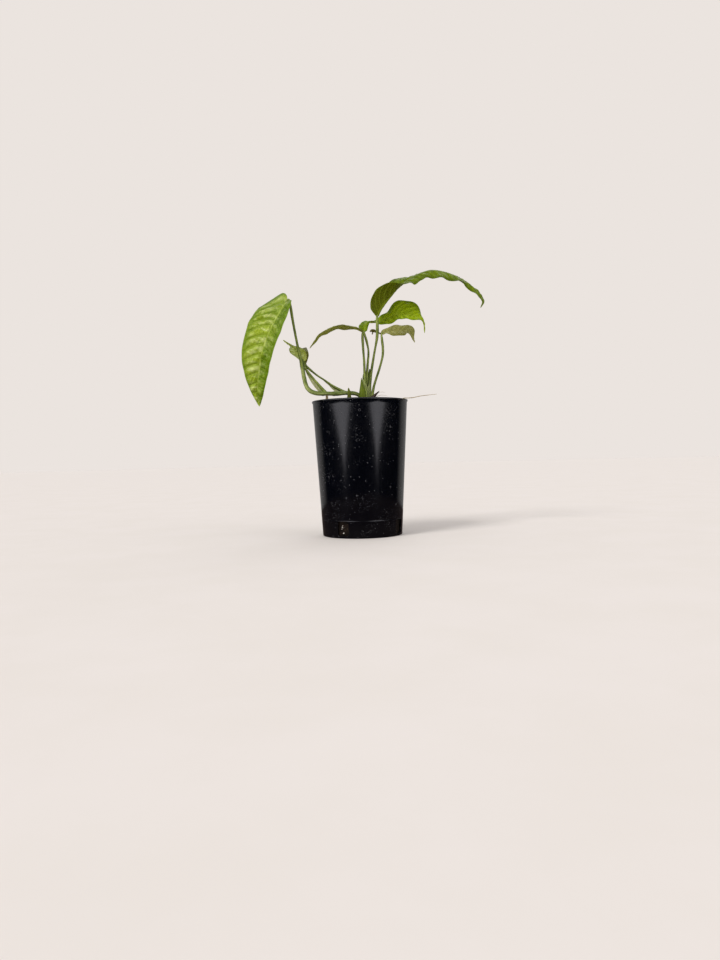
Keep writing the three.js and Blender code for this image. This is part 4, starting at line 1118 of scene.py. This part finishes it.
def leaf_mesh(name, leaf, seed):
    """A blade bent from its midrib outwards, then puffed up between its veins."""
    gap, quilt = leaf["gap"], leaf["quilt"]
    even = np.linspace(0, 1, leaf["rows"] + 1)
    share = even - ROW_CROWDING * np.sin(TAU * even) / TAU
    turn = np.linspace(-1, 1, 2 * leaf["columns"] + 1)
    out = np.sign(turn) * np.abs(turn) ** COLUMN_CROWDING
    centre, tangent, length = line(leaf["midrib"], share)
    side = along(leaf["across"], share)
    side = unit(side - (side * tangent).sum(1, keepdims=True) * tangent)
    upper = np.cross(side, tangent)

    def half(key):
        left, right = along(leaf["left" + key], share), along(leaf["right" + key], share)
        return np.where(out > 0, right[:, None], left[:, None])

    s = np.abs(out)[None]
    base = np.sin(math.pi / 2 * np.clip(share[:, None] / BASE_ROUND, 0, 1))
    tip = np.sqrt(1 - np.clip((share - 1 + TIP_ROUND) / TIP_ROUND, 0, 1) ** 2)
    width = np.maximum(half(""), 0.25) * base * tip[:, None]
    fold, curl = np.radians(half("_fold")), np.radians(half("_curl"))
    curl = np.where(np.abs(curl) < 1e-3, 1e-3, curl)
    outward = width * (np.sin(fold + curl * s) - np.sin(fold)) / curl
    rise = width * (np.cos(fold) - np.cos(fold + curl * s)) / curl
    wave = along(leaf["wave"], share) * np.sin(TAU * leaf["waves"] * share)
    rise = rise + s**2 * np.minimum(1, width / 6) * wave[:, None]
    back = np.where(out > 0, leaf["lobe"], 0)[None] * s
    back = back * ((share / LOBE_PEAK) * np.exp(1 - share / LOBE_PEAK))[:, None] ** 1.2

    surface = centre[:, None] + side[:, None] * (np.sign(out)[None] * outward)[..., None]
    surface = surface + upper[:, None] * rise[..., None] - tangent[:, None] * back[..., None]
    across_mm = s * width
    along_mm = np.broadcast_to((share * length)[:, None], width.shape)
    grain = np.stack([across_mm * np.sign(out)[None], along_mm, np.full_like(width, 3.0 * seed)], -1)

    flat = grain[..., :2]
    wander = 0.16 * ripple(flat * [0.35, 1], gap * 1.4, seed)
    rib = (along_mm - leaf["slant"] * across_mm - leaf["bow"] * across_mm**2) / gap
    rib = rib + wander + np.where(out > 0, OPPOSITE_VEINS, 0)[None]
    to_rib = np.abs(rib - np.round(rib))
    fill = np.sin(math.pi * to_rib) ** 1.2
    inside = (0.2 + 0.8 * smooth(s, 0.03, 0.25)) * (1 - smooth(s, 0.72, 1.0))
    uneven = 0.72 + 0.28 * ripple(flat, gap * 0.9, seed + 50)
    cells = 0.3 * ripple(flat, gap * 0.42, seed + 60, 10)
    ends = (smooth(share, 0.01, 0.1) * (1 - smooth(share, 0.9, 1)))[:, None]
    relief = quilt * inside * ends * (fill * uneven + cells * fill)
    relief = relief - quilt * VEIN_SINK * bell(to_rib * gap, 0.45) * inside * ends
    dents = smooth(ripple(flat * [1, 0.6], 8, seed + 90), 0.0, 0.6) * (out < 0)[None]
    dents = dents * smooth(across_mm, 0, 1.5) * (1 - smooth(across_mm, 7, 10.5)) * ends
    relief = relief - leaf["dent"] * dents
    groove = GROOVE_DEPTH * bell(across_mm, GROOVE_WIDTH) * ends
    ruffle = leaf["ruffle"] * s**3 * ripple(flat * [0.5, 1], 6.5, seed + 70) * ends
    sway = 0.35 * leaf["ruffle"] * ripple(flat, 16, seed + 80) * ends

    normal = grid_normals(surface, upper[:, None])
    surface = surface + normal * (relief - groove + ruffle + sway)[..., None]
    normal = grid_normals(surface, upper[:, None])
    ridge_width = 0.55 + 0.35 * (1 - share)[:, None]
    taper = (1 - 0.85 * share) * smooth(share, 0, 0.02) * (1 - smooth(share, 0.93, 1))
    ridge = leaf["rib"] * taper[:, None] * bell(across_mm, ridge_width)
    vein_ridge = VEIN_RISE * leaf["rib"] * bell(to_rib * gap, 0.4) * inside * ends
    # the dents also go to the material, where they become painted shade
    attributes = {"grain": grain, "rib": rib, "across": across_mm, "out": np.broadcast_to(s, width.shape),
                  "hollow_shade": dents * min(1, leaf["dent"])}
    return thin_body(name, on_plant(surface), normal, HALF_BLADE, attributes, ridge + vein_ridge)


# each blade's slot, then leaf_finish's light, deep, vein, under and sheen colours, its gloss, its painted
# shade near the base and its painted shade on the left half
LEAF_LOOKS = {
    "drooping": (
        "leaf_light", (154, 172, 44), (88, 116, 0), (168, 184, 80), (124, 138, 50), (198, 208, 132),
        0.45, 0.25, 0.4),
    "cupped": (
        "leaf_green", (188, 198, 100), (144, 156, 54), (194, 202, 116), (182, 190, 100), (208, 214, 142),
        0.3, 0, 0),
    # darker colours: partly this leaf's own deep olive, partly painted shade where it lies behind the others
    "shaded": (
        "leaf_dark", (112, 112, 34), (82, 82, 8), (122, 120, 44), (102, 102, 36), (120, 122, 50),
        0.25, 0, 0),
    "left_arch": (
        "leaf_dark", (130, 134, 48), (96, 100, 18), (142, 144, 64), (128, 132, 48), (142, 146, 70),
        0.28, 0, 0),
    "right": (
        "leaf_green", (152, 174, 8), (94, 118, 0), (156, 170, 40), (104, 112, 12), (158, 178, 50),
        0.3, 0.8, 0),
    # darker colours: partly this leaf's own deep green, partly painted shade on the under side turned to the
    # front
    "top_arch": (
        "leaf_dark", (104, 124, 8), (60, 76, 0), (114, 128, 30), (84, 90, 0), (108, 128, 30),
        0.2, 0.1, 0),
    "back": (
        "leaf_grey", (158, 156, 92), (128, 126, 62), (166, 164, 104), (160, 156, 92), (170, 168, 112),
        0.2, 0.1, 0),
}


def add_leaves():
    for number, (name, own) in enumerate(LEAVES.items()):
        leaf = {**USUAL_LEAF, **own}
        slot, *finish = LEAF_LOOKS[name]
        material = leaf_finish("leaf_" + name, *finish, gap=leaf["gap"])
        mesh = leaf_mesh("blade_" + name, leaf, number + 1)
        add_piece("blade_" + name, mesh, material, slot, "leaf_" + name)


add_stage()
add_pot()
add_mix()
add_all_crumbs()
add_chunks()
add_stems()
add_sheaths()
add_shoot()
add_dry_bits()
add_roots()
add_leaves()
